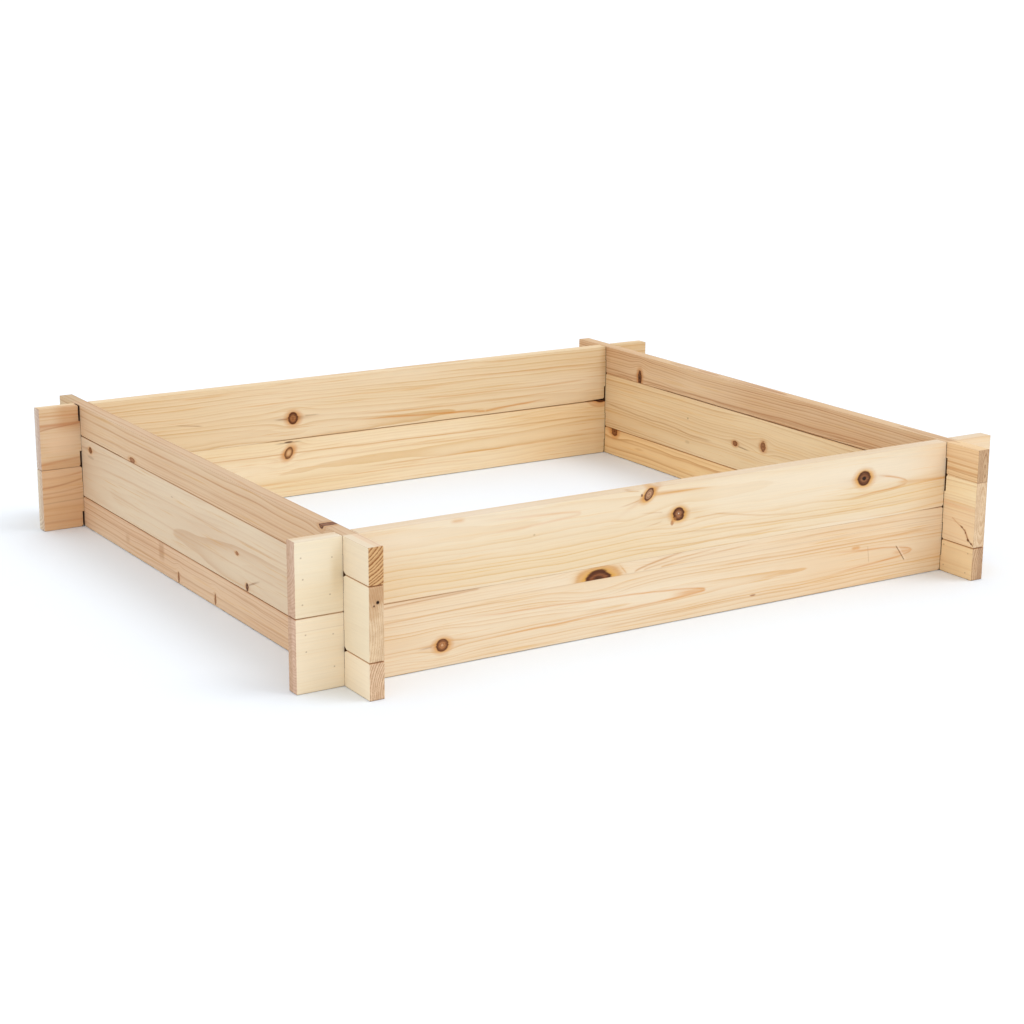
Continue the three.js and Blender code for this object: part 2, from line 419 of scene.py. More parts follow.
class Graph:
    def __init__(self, tree):
        self.tree, self.nodes, self.links = tree, tree.nodes, tree.links

    def node(self, kind, **props):
        n = self.nodes.new(kind)
        for k, v in props.items():
            setattr(n, k, v)
        return n

    def put(self, socket, value):
        if isinstance(value, Num):
            self.links.new(value.s, socket)
        elif isinstance(value, bpy.types.NodeSocket):
            self.links.new(value, socket)
        elif isinstance(value, (tuple, list)) and len(value) == 3 and socket.type == "RGBA":
            socket.default_value = (*value, 1)
        elif value == socket.default_value if socket.type == "VALUE" else False:
            pass
        else:
            socket.default_value = value

    def math(self, op, *values, clamp=False):
        n = self.node("ShaderNodeMath")
        if op != "ADD":
            n.operation = op
        if clamp:
            n.use_clamp = True
        for sock, v in zip(n.inputs, values):
            self.put(sock, v)
        return Num(self, n.outputs[0])

    def sqrt(self, a):
        return self.math("SQRT", a)

    def absolute(self, a):
        return self.math("ABSOLUTE", a)

    def fract(self, a):
        return self.math("FRACT", a)

    def floor(self, a):
        return self.math("FLOOR", a)

    def power(self, a, b):
        return self.math("POWER", a, b)

    def minimum(self, a, b):
        return self.math("MINIMUM", a, b)

    def maximum(self, a, b):
        return self.math("MAXIMUM", a, b)

    def clamp01(self, a):
        return self.math("ADD", a, 0.0, clamp=True)

    def bell(self, a):
        """exp(-a*a)"""
        return self.math("EXPONENT", -(a * a))

    def step(self, a, lo, hi, to_lo=0.0, to_hi=1.0):
        n = self.node("ShaderNodeMapRange", interpolation_type="SMOOTHSTEP")
        for sock, v in zip(n.inputs, (a, lo, hi, to_lo, to_hi)):
            self.put(sock, v)
        return Num(self, n.outputs[0])

    def vec(self, x, y, z):
        n = self.node("ShaderNodeCombineXYZ")
        for sock, v in zip(n.inputs, (x, y, z)):
            self.put(sock, v)
        return n.outputs[0]

    def split(self, v):
        n = self.node("ShaderNodeSeparateXYZ")
        self.put(n.inputs[0], v)
        return [Num(self, o) for o in n.outputs]

    def add(self, a, b):
        n = self.node("ShaderNodeVectorMath")
        self.put(n.inputs[0], a)
        self.put(n.inputs[1], b)
        return n.outputs[0]

    def scale(self, v, xyz):
        n = self.node("ShaderNodeVectorMath", operation="MULTIPLY")
        self.put(n.inputs[0], v)
        n.inputs[1].default_value = xyz
        return n.outputs[0]

    def noise(self, v, detail=2.0, rough=0.5, distortion=0.0):
        n = self.node("ShaderNodeTexNoise", noise_dimensions="3D", normalize=True)
        self.put(n.inputs["Vector"], v)
        n.inputs["Scale"].default_value = 1.0
        n.inputs["Detail"].default_value = detail
        n.inputs["Roughness"].default_value = rough
        n.inputs["Distortion"].default_value = distortion
        return Num(self, n.outputs[0])

    def hash(self, w):
        n = self.node("ShaderNodeTexWhiteNoise", noise_dimensions="1D")
        self.put(n.inputs["W"], w)
        return Num(self, n.outputs["Value"])

    def mix(self, fac, a, b, blend="MIX"):
        n = self.node("ShaderNodeMix", data_type="RGBA", blend_type=blend, clamp_factor=True)
        self.put(n.inputs["Factor"], fac)
        self.put(n.inputs[6], a)
        self.put(n.inputs[7], b)
        return n.outputs[2]


# ---- wood ---------------------------------------------------------------------------------------------
# Each part of the wood is one node group, made once and used by every board with its own numbers. P is a place in
# the board's own millimetres.
GROUPS = {}


def group(name, inputs, outputs):
    """Makes a node group by running the function below it on its inputs, and gives a function that uses the group."""

    def wrap(fn):
        tree = bpy.data.node_groups.new(name, "ShaderNodeTree")
        kinds = {"f": "NodeSocketFloat", "v": "NodeSocketVector", "c": "NodeSocketColor"}
        for item in inputs:
            tree.interface.new_socket(item[:-2], in_out="INPUT", socket_type=kinds[item[-1]])
        for item in outputs:
            tree.interface.new_socket(item[:-2], in_out="OUTPUT", socket_type=kinds[item[-1]])
        g = Graph(tree)
        gin, gout = g.node("NodeGroupInput"), g.node("NodeGroupOutput")
        args = {}
        for item in inputs:
            sock = gin.outputs[item[:-2]]
            args[item[:-2]] = Num(g, sock) if item[-1] == "f" else sock
        made = fn(g, **args)
        for item, value in zip(outputs, made if isinstance(made, tuple) else (made,)):
            g.put(gout.inputs[item[:-2]], value)

        def use(graph, **values):
            n = graph.node("ShaderNodeGroup")
            n.node_tree = tree
            for key, value in values.items():
                graph.put(n.inputs[key], value)
            got = [Num(graph, n.outputs[i[:-2]]) if i[-1] == "f" else n.outputs[i[:-2]] for i in outputs]
            return got[0] if len(got) == 1 else got

        return use

    return wrap


@group("fibres", ["P:v", "Seed:f"], ["N1:f", "N2:f", "F1:f", "F2:f", "Tone:f"])
def fibres(g, P, Seed):
    """Slow wander of the grain, its shorter waves, long fibres, short fibres and broad changes of tone, each about 0."""
    P = g.add(P, g.vec(Seed, 0.0, 0.0))
    n1 = g.noise(g.scale(P, (0.0042, 0.012, 0.012)), 1.0) - 0.5
    n2 = g.noise(g.scale(P, (0.016, 0.05, 0.05)), 1.0) - 0.5
    f1 = g.noise(g.scale(P, (0.009, 0.42, 0.42)), 3.0, 0.6) - 0.5
    f2 = g.noise(g.scale(P, (0.045, 2.4, 2.4)), 2.0) - 0.5
    tone = g.noise(g.scale(P, (0.0035, 0.028, 0.028)), 2.0) - 0.5
    return n1, n2, f1, f2, tone


@group("knot place", ["P:v", "X:f", "Z:f", "TX:f", "TZ:f", "R:f", "Taper:f", "Aspect:f", "Lean:f", "Span:f", "Pull:f"], ["RX:f", "RZ:f", "Shift:f"])
def knot_place(g, P, X, Z, TX, TZ, R, Taper, Aspect, Lean, Span, Pull):
    """Where P is beside a branch that passes through the board, in radii, and how far the branch pushes the grain."""
    x, y, z = g.split(P)
    depth = y + 9.0
    dx = x - (depth * TX + X)
    dz = z - (depth * TZ + Z)
    r = depth * Taper * R + R
    rx = dx / r
    rz = dz / (r * Aspect) - rx * Lean
    wide = rx / Span
    pull = g.math("EXPONENT", (wide * wide + rz * rz * 0.55) * -0.5)
    return rx, rz, dz * pull * Pull


@group("rings", ["P:v", "Bend:f", "N2:f", "PithY:f", "PithZ:f", "SlopeY:f", "SlopeZ:f", "Spacing:f", "Sharp:f"], ["Late:f", "Soft:f", "Ring:f"])
def growth(g, P, Bend, N2, PithY, PithZ, SlopeY, SlopeZ, Spacing, Sharp):
    """The dark late wood of each year's ring around the pith, and the same much softened."""
    x, y, z = g.split(P)
    ry = y - (x * SlopeY + PithY) + N2 * 1.5
    rz = z + Bend - (x * SlopeZ + PithZ)
    rad = g.sqrt(ry * ry + rz * rz)
    n3 = g.noise(g.scale(g.vec(rad, 0.0, 0.0), (0.06, 1, 1)), 1.0) - 0.5
    ring = rad / Spacing + n3 * 2.6
    part = g.fract(ring)
    late = g.step(part, 0.3, 0.9) * g.step(part, 1.0, 0.94)
    late = g.power(late, Sharp)
    own = g.hash(g.floor(ring))
    own = own * own * 1.15 + 0.25
    soft = g.math("SINE", ring * 6.2832 - 0.9) * 0.5 + 0.5
    return late * own, soft * own, g.step(part, 0.35, 0.8) * g.step(part, 1.0, 0.9)


@group(
    "knot",
    ["Colour:c", "P:v", "RX:f", "RZ:f", "Wob:f", "Fleck:f", "Only:f", "Soft:f", "Solid:f", "Reach:f", "Halo:f", "HaloOut:f", "HaloColour:c"]
    + ["Collar:f", "CollarAt:f", "CollarColour:c", "Tongue:f", "TongueLen:f", "TongueW:f", "TongueColour:c"]
    + ["RimAt:f", "RimW:f", "Rim:f", "RimColour:c", "Core:f", "CoreR:f", "CoreColour:c", "Rings:f", "Body:c", "Body2:c"],
    ["Colour:c", "Dent:f"],
)
def knot_paint(g, Colour, P, RX, RZ, Wob, Fleck, Only, Soft, Solid, Reach, Halo, HaloOut, HaloColour, Collar, CollarAt, CollarColour, Tongue, TongueLen, TongueW, TongueColour, RimAt, RimW, Rim, RimColour, Core, CoreR, CoreColour, Rings, Body, Body2):
    """A knot: a dark rim of bark around brown rings, in a collar of orange wood that runs out along the grain."""
    r2 = RZ * RZ
    d = g.sqrt(RX * RX + r2) + Wob
    wide = RX / Reach
    dh = g.sqrt(wide * wide + r2) + Wob
    body = g.step(d, Soft + 1.0, 1.0 - Soft) * Only
    halo = g.step(dh, HaloOut, 0.8)
    halo = halo * (halo * 0.6 + 0.4) * Only * Halo
    collar = g.bell((dh - CollarAt) / 0.16) * g.clamp01(Fleck * 3.0 + 0.8) * Only * Collar
    tongue = g.math("EXPONENT", -(g.absolute(RX) / TongueLen)) * g.bell(RZ / TongueW) * Only * Tongue
    colour = g.mix(halo, Colour, HaloColour)
    colour = g.mix(tongue, colour, TongueColour)
    colour = g.mix(collar, colour, CollarColour)
    rim = g.bell((d - RimAt) / RimW) * body
    core = g.step(d, CoreR, CoreR * 0.4)
    rings = g.math("SINE", d * Rings) * 0.35 + 0.35
    inner = g.mix(rings, Body, Body2)
    inner = g.mix(g.step(Fleck, 0.02, 0.14) * 0.4, inner, linear((206, 156, 108)))
    inner = g.mix(core * Core, inner, CoreColour)
    inner = g.mix(rim * Rim, inner, RimColour)
    return g.mix(body * Solid, colour, inner), rim


@group("streak", ["Colour:c", "P:v", "Wig:f", "Grit:f", "X0:f", "Z0:f", "X1:f", "Z1:f", "Bend:f", "Sag:f", "Half0:f", "Half1:f", "Fade0:f", "Fade1:f", "Strength:f", "Mask:f", "Paint:c"], ["Colour:c"])
def streak(g, Colour, P, Wig, Grit, X0, Z0, X1, Z1, Bend, Sag, Half0, Half1, Fade0, Fade1, Strength, Mask, Paint):
    """A line of resin-rich late wood from (X0, Z0) to (X1, Z1), narrow, wavy with the grain and faded at its ends."""
    x, y, z = g.split(P)
    span = X1 - X0
    t = (x - X0) / span
    tc = g.clamp01(t)
    zc = g.power(tc, Bend) * (Z1 - Z0) + Z0 + tc * (1.0 - tc) * Sag * 4.0
    half = tc * (Half1 - Half0) + Half0
    d = (z + Wig - zc) / half
    length = g.absolute(span)
    m = g.bell(d) * g.step(t * length, -1.0, Fade0) * g.step((1.0 - t) * length, -1.0, Fade1)
    m = m * (Grit + 1.0) * Mask * Strength
    return g.mix(g.clamp01(m), Colour, Paint)


@group("patch", ["Colour:c", "P:v", "X0:f", "X1:f", "SoftX:f", "Z0:f", "Z1:f", "SoftZ:f", "Strength:f", "Paint:c"], ["Colour:c"])
def patch(g, Colour, P, X0, X1, SoftX, Z0, Z1, SoftZ, Strength, Paint):
    """A soft-edged stretch of another shade."""
    x, y, z = g.split(P)
    m = g.step(x, X0 - SoftX, X0 + SoftX) * g.step(x, X1 + SoftX, X1 - SoftX)
    m = m * g.step(z, Z0 - SoftZ, Z0 + SoftZ) * g.step(z, Z1 + SoftZ, Z1 - SoftZ)
    return g.mix(m * Strength, Colour, Paint)


@group("dot", ["Colour:c", "P:v", "Fleck:f", "X:f", "Z:f", "RX:f", "RZ:f", "Strength:f", "Paint:c"], ["Colour:c"])
def dot(g, Colour, P, Fleck, X, Z, RX, RZ, Strength, Paint):
    """A small brown fleck, pin knot or resin spot."""
    x, y, z = g.split(P)
    dx, dz = (x - X) / RX, (z - Z) / RZ
    m = g.step(g.sqrt(dx * dx + dz * dz) + Fleck * 0.6, 1.25, 0.6)
    return g.mix(m * Strength, Colour, Paint)


@group("scratch", ["Colour:c", "P:v", "Wig:f", "X0:f", "Z0:f", "X1:f", "Z1:f", "Half:f", "Strength:f", "Paint:c"], ["Colour:c"])
def scratch(g, Colour, P, Wig, X0, Z0, X1, Z1, Half, Strength, Paint):
    """A straight scratch across the grain."""
    x, y, z = g.split(P)
    ux, uz = X1 - X0, Z1 - Z0
    l2 = ux * ux + uz * uz
    t = ((x - X0) * ux + (z - Z0) * uz) / l2
    d = ((x - X0) * uz - (z - Z0) * ux) / g.sqrt(l2)
    m = g.bell((d + Wig) / Half) * g.step(t, 0.0, 0.12) * g.step(t, 1.0, 0.88)
    return g.mix(m * Strength, Colour, Paint)


@group("cross cut", ["P:v", "Ring:f", "Soft:f", "Cut:f", "Early:c", "Dark:c", "Stain:c", "Contrast:f", "Stains:f"], ["Colour:c", "Grit:f"])
def cross_cut(g, P, Ring, Soft, Cut, Early, Dark, Stain, Contrast, Stains):
    """Sawn end grain: the rings bold, with open pores and blotches, and the notch faces painted dark as shade in the
    slits.
    """
    grit = g.noise(g.scale(P, (0.4, 1.7, 1.7)), 3.0, 0.65) - 0.5
    blot = g.noise(g.scale(P, (0.05, 0.16, 0.16)), 2.0) - 0.5
    torn = g.noise(g.scale(P, (0.2, 0.55, 0.55)), 2.0) - 0.5
    rings = g.clamp01((Ring * (torn * 1.6 + 0.8) + Soft * 0.25) * Contrast)
    col = g.mix(rings, Early, Dark)
    col = g.mix(g.clamp01(blot * 2.2 + 0.4) * Stains, col, Stain)
    col = g.mix(g.step(grit, 0.1, 0.3) * 0.45, col, linear((112, 76, 52)))
    # painted shade: the notch cheeks, floors and flares are made nearly black, for the shade inside the slits
    inside = g.step(Cut, 0.3, 0.4) * g.step(Cut, 0.9, 0.85)
    col = g.mix(inside, col, g.mix(1.0, col, (0.17, 0.085, 0.045), "MULTIPLY"))
    return col, grit


def side_mask(near, b):
    return 1.0 if b.get("side", -1) == 0 else (near if b.get("side", -1) < 0 else 1.0 - near)


def wood_material(name, spec):
    w = spec["wood"]
    mat = bpy.data.materials.new(name + "_pine")
    mat.use_nodes = True
    g = Graph(mat.node_tree)
    shader = next(n for n in g.nodes if n.type == "BSDF_PRINCIPLED")
    tc = g.node("ShaderNodeTexCoord")
    X, Y, Z = g.split(tc.outputs["Object"])
    across = (Y if spec["axis"] == "x" else X) * 1000.0 - spec["wall"]
    along = (X if spec["axis"] == "x" else Y) * 1000.0
    P = g.vec(along, across, Z * 1000.0)
    x, y, z = g.split(P)
    cut = Num(g, g.node("ShaderNodeAttribute", attribute_name="crosscut", attribute_type="GEOMETRY").outputs["Fac"])
    near = g.step(y, 2.0, -2.0)  # 1 on the half of the board towards the camera
    grown = P
    if "glue" in w:  # the board is glued up from two strips, each with its own grain
        over = g.step(z, w["glue"] - 0.25, w["glue"] + 0.25)
        grown = g.add(P, g.vec(over * 431.0, over * 9.0, over * w.get("glue_shift", 37.0)))
    n1, n2, f1, f2, tone = fibres(g, P=grown, Seed=spec["seed"] * 1371.7)

    shift = None
    placed = []
    for k in spec["knots"]:
        rx, rz, move = knot_place(
            g, P=P, X=k["x"], Z=k["z"], TX=k.get("tx", 0.0), TZ=k.get("tz", 0.0), R=k["r"], Taper=k.get("taper", 0.0),
            Aspect=k.get("aspect", 1.0), Lean=k.get("lean", 0.0), Span=k.get("span", 2.6), Pull=k.get("pull", 0.86),
        )
        shift = move if shift is None else shift + move
        placed.append((k, rx, rz))
    bend = n1 * w.get("wander", 16.0) + n2 * w.get("wobble", 2.2)
    if shift is not None:
        bend = bend - shift
    py, pz, sy, sz = w["pith"]
    late, soft, ring = growth(
        g, P=grown, Bend=bend, N2=n2, PithY=py, PithZ=pz, SlopeY=sy, SlopeZ=sz, Spacing=w["spacing"], Sharp=w.get("sharp", 1.4)
    )

    end_soft, end_ring = soft, ring
    if "end_pith" in w:  # seen on the sawn ends, the rings lie another way
        ey, ez, tall, apart = w["end_pith"]
        _, end_soft, end_ring = growth(
            g, P=g.scale(P, (1.0, 1.0, tall)), Bend=n2 * 7.0 * tall, N2=n2 * 1.6 + f1 * 0.8, PithY=ey, PithZ=ez * tall, SlopeY=0.0, SlopeZ=0.0, Spacing=apart, Sharp=1.0,
        )

    fade = g.clamp01(tone * 2.2 + 0.62)  # the rings come and go along the board
    lines = g.clamp01((late * 1.05 + soft * w.get("soft", 0.22)) * fade * w.get("contrast", 0.5) * 1.7)
    colour = g.mix(lines, linear(w["early"]), linear(w["late"]))
    colour = g.mix(g.clamp01(tone * 2.4 + 0.5) * 0.55, colour, linear(w.get("blush", w["late"])))
    colour = g.mix(g.step(f1, 0.04, 0.24) * w.get("fibre", 0.5), colour, linear(w.get("fibre_colour", w["late"])))

    for b in w.get("patches", ()):
        colour = patch(
            g, Colour=colour, P=P, X0=b["x"][0], X1=b["x"][1], SoftX=b["soft"][0], Z0=b["z"][0], Z1=b["z"][1], SoftZ=b["soft"][1],
            Strength=b["strength"] * side_mask(near, b), Paint=linear(b["colour"]),
        )
    wig = n2 * 3.0 + f1 * 0.9
    for b in w.get("streaks", ()):
        fade0, fade1 = b.get("fade", (20.0, 60.0))
        colour = streak(
            g, Colour=colour, P=P, Wig=wig * b.get("wig", 1.0), Grit=f1 * 2.0, X0=b["a"][0], Z0=b["a"][1], X1=b["b"][0], Z1=b["b"][1],
            Bend=b.get("bend", 1.0), Sag=b.get("sag", 0.0), Half0=b["half"], Half1=b.get("half2", b["half"]), Fade0=fade0, Fade1=fade1,
            Strength=b["strength"], Mask=side_mask(near, b), Paint=linear(b.get("colour", w["late"])),
        )
    dent = None
    for k, rx, rz in placed:
        only = 1.0
        if "above" in k:  # a knot that the glue line cuts off
            only = g.step(z, k["above"] - 0.3, k["above"] + 0.3)
        if "below" in k:
            only = g.step(z, k["below"] + 0.3, k["below"] - 0.3)
        colour, rim = knot_paint(
            g, Colour=colour, P=P, RX=rx, RZ=rz, Wob=n2 * 0.45 + f1 * k.get("ragged", 0.35), Fleck=f2, Only=only,
            Soft=k.get("soft", 0.1), Solid=k.get("solid", 1.0), Reach=k.get("reach", 1.25),
            Halo=k.get("halo", 0.4), HaloOut=k.get("halo_out", 1.9), HaloColour=linear(k.get("halo_colour", (228, 178, 122))),
            Collar=k.get("collar", 0.35), CollarAt=k.get("collar_at", 1.42), CollarColour=linear(k.get("collar_colour", (200, 138, 82))),
            Tongue=k.get("tongue", 0.4), TongueLen=k.get("tongue_len", 1.6), TongueW=k.get("tongue_w", 0.5), TongueColour=linear(k.get("tongue_colour", (192, 126, 76))),
            RimAt=k.get("rim_at", 0.84), RimW=k.get("rim", 0.2), Rim=k.get("rim_f", 0.9), RimColour=linear(k.get("rim_colour", (94, 58, 38))),
            Core=k.get("core_f", 0.8), CoreR=k.get("core_r", 0.3), CoreColour=linear(k.get("core", (206, 166, 128))),
            Rings=k.get("rings", 16.0), Body=linear(k.get("body", (164, 114, 76))), Body2=linear(k.get("body2", (124, 80, 52))),
        )
        dent = rim if dent is None else dent + rim
    for b in w.get("dots", ()):
        colour = dot(
            g, Colour=colour, P=P, Fleck=f2, X=b["x"], Z=b["z"], RX=b["rx"], RZ=b["rz"],
            Strength=b.get("strength", 0.6) * side_mask(near, b), Paint=linear(b.get("colour", (120, 80, 52))),
        )
    for b in w.get("scratches", ()):
        colour = scratch(
            g, Colour=colour, P=P, Wig=n2 * b.get("wig", 1.5), X0=b["a"][0], Z0=b["a"][1], X1=b["b"][0], Z1=b["b"][1], Half=b["half"],
            Strength=b["strength"] * side_mask(near, b), Paint=linear(b["colour"]),
        )
    if "glue" in w:
        colour = g.mix(g.bell((z - w["glue"]) / 0.5) * w.get("glue_line", 0.16), colour, linear((160, 112, 76)))

    end_col, grit = cross_cut(
        g, P=P, Ring=end_ring, Soft=end_soft, Cut=cut, Early=linear(w.get("end_early", (226, 196, 160))), Dark=linear(w.get("end_late", (158, 106, 68))),
        Stain=linear(w.get("end_stain", (176, 132, 98))), Contrast=w.get("end_contrast", 0.9), Stains=w.get("end_stains", 0.4),
    )
    for b in w.get("end_dots", ()):
        dy, dz = (y - b["y"]) / b["r"], (z - b["z"]) / b["r"]
        m = g.step(g.sqrt(dy * dy + dz * dz) + grit * 0.5, 1.2, 0.5) * g.step(x * b["end"], 0.0, 1.0)
        end_col = g.mix(m * b.get("strength", 0.9), end_col, linear(b.get("colour", (58, 36, 24))))
    colour = g.mix(g.step(cut, 0.0, 0.35), colour, end_col)

    # painted shade: where a crossing board hides the face inside the notch, the colour is made nearly black so the
    # slits beside the notches look dark; the key dark sets how far this reaches
    cross = WALL_X if spec["axis"] == "x" else WALL_Y
    far, deep = w.get("dark", (9.3, 8.5))
    painted_joint_shade = g.step(g.absolute(g.absolute(x) - cross), far, deep) * g.step(z, HEIGHT - 0.4, HEIGHT - 1.2) * (1.0 - cut)
    colour = g.mix(painted_joint_shade, colour, g.mix(1.0, colour, (0.16, 0.08, 0.04), "MULTIPLY"))
    value = f1 * w.get("shade", 0.12) + f2 * 0.08 + 1.0 + grit * cut * 0.12
    final = g.mix(1.0, colour, g.vec(value, value, value), "MULTIPLY")
    low, high = spec["levels"][:2]
    edges = [(low, 1, w.get("low_edge", 0.75))] + ([(high, -1, w.get("high_edge_shade", 0.75))] if high < HEIGHT else [])
    for level, way, strength in edges:  # painted shade: the edges are darkened at the ground, as the contact shadow under the board, and at the seams, as a dark joint together with the shade in the gap
        if "seam" in w and level != 0:  # the seam to the other board of the wall shows more here than there
            strength, changes = w["seam"]
            for x0, x1, more in changes:
                strength = g.step(x, x0, x1, 0.0, more) + strength
        m = g.step(z, level + way * 1.25, level + way * 0.2) * strength
        if "calm" in w and abs(level - 3 * Q) < 1:  # up to here that edge is darkened only a tenth as much
            m = m * g.step(x, w["calm"] - 1.0, w["calm"] + 1.0, 0.1, 1.0)
        final = g.mix(m, final, g.mix(1.0, final, (0.62, 0.37, 0.2) if level else (0.4, 0.34, 0.3), "MULTIPLY"))
    for t in w.get("tints", ()):
        m = g.step(x, t["x"][0], t["x"][1])
        if "z" in t:
            m = m * g.step(z, t["z"][0], t["z"][1])
        m = m * side_mask(near, t)
        if t.get("cut"):
            m = m * g.step(cut, 0.9, 0.95)
        final = g.mix(m, final, g.mix(1.0, final, tuple(GAINS[t["gain"]] if isinstance(t["gain"], str) else t["gain"]), "MULTIPLY"))
    final = g.mix(1.0, final, tuple(GAINS[name]), "MULTIPLY")
    g.put(shader.inputs["Base Color"], final)

    rough = late * -0.08 + f2 * 0.12 + w.get("rough", 0.6) + cut * 0.14
    g.put(shader.inputs["Roughness"], g.clamp01(rough))
    shader.inputs["Specular IOR Level"].default_value = w.get("specular", 0.2)

    height = late * 0.05 + f1 * 0.09 + f2 * 0.06 + (grit * 0.35) * cut
    if dent is not None:
        height = height - dent * 0.12
    bump = g.node("ShaderNodeBump")
    bump.inputs["Strength"].default_value = 0.55
    bump.inputs["Distance"].default_value = 0.001
    g.put(bump.inputs["Height"], height)
    g.links.new(bump.outputs["Normal"], shader.inputs["Normal"])
    return mat


# ---- the boards ---------------------------------------------------------------------------------------
# how much light each board's wood gives back, and where a stretch of it is lighter or darker
GAINS = {
    "front_board_upper": (0.899, 0.872, 0.855),
    "front_board_lower": (0.898, 0.861, 0.829),
    "back_board_upper": (0.907, 0.847, 0.765),
    "back_board_lower": (0.981, 0.946, 0.880),
    "left_board_top": (0.827, 0.786, 0.760),
    "left_board_middle": (0.843, 0.805, 0.764),
    "left_board_bottom": (0.911, 0.873, 0.829),
    "right_board_top": (0.896, 0.938, 1.092),
    "right_board_middle": (0.970, 0.961, 0.923),
    "right_board_bottom": (1.114, 1.124, 1.061),
    "front_upper_near": (1.074, 1.127, 1.204),
    "front_lower_near": (1.128, 1.171, 1.255),
    # painted light: the left wall's near stub is made lighter than the rest of its board, which stands in shade
    "left_near_painted_light": (1.175, 1.255, 1.377),
    "back_far": (0.902, 0.827, 0.793),
    "right_near_top": (1.174, 1.215, 1.170),
    "right_near_middle": (1.151, 1.271, 1.478),
    "right_near_bottom": (0.999, 1.094, 1.308),
    "end_near_top": (0.855, 0.736, 0.564),
    "end_near_middle": (0.948, 0.941, 0.863),
    "end_near_bottom": (0.925, 0.905, 0.867),
    "end_right": (0.845, 0.769, 0.644),
}

WOOD = dict(early=(247, 231, 204), late=(208, 158, 88), blush=(239, 215, 172), fibre_colour=(218, 172, 106))
ORANGE = (224, 160, 84)
BROWN = (150, 100, 64)

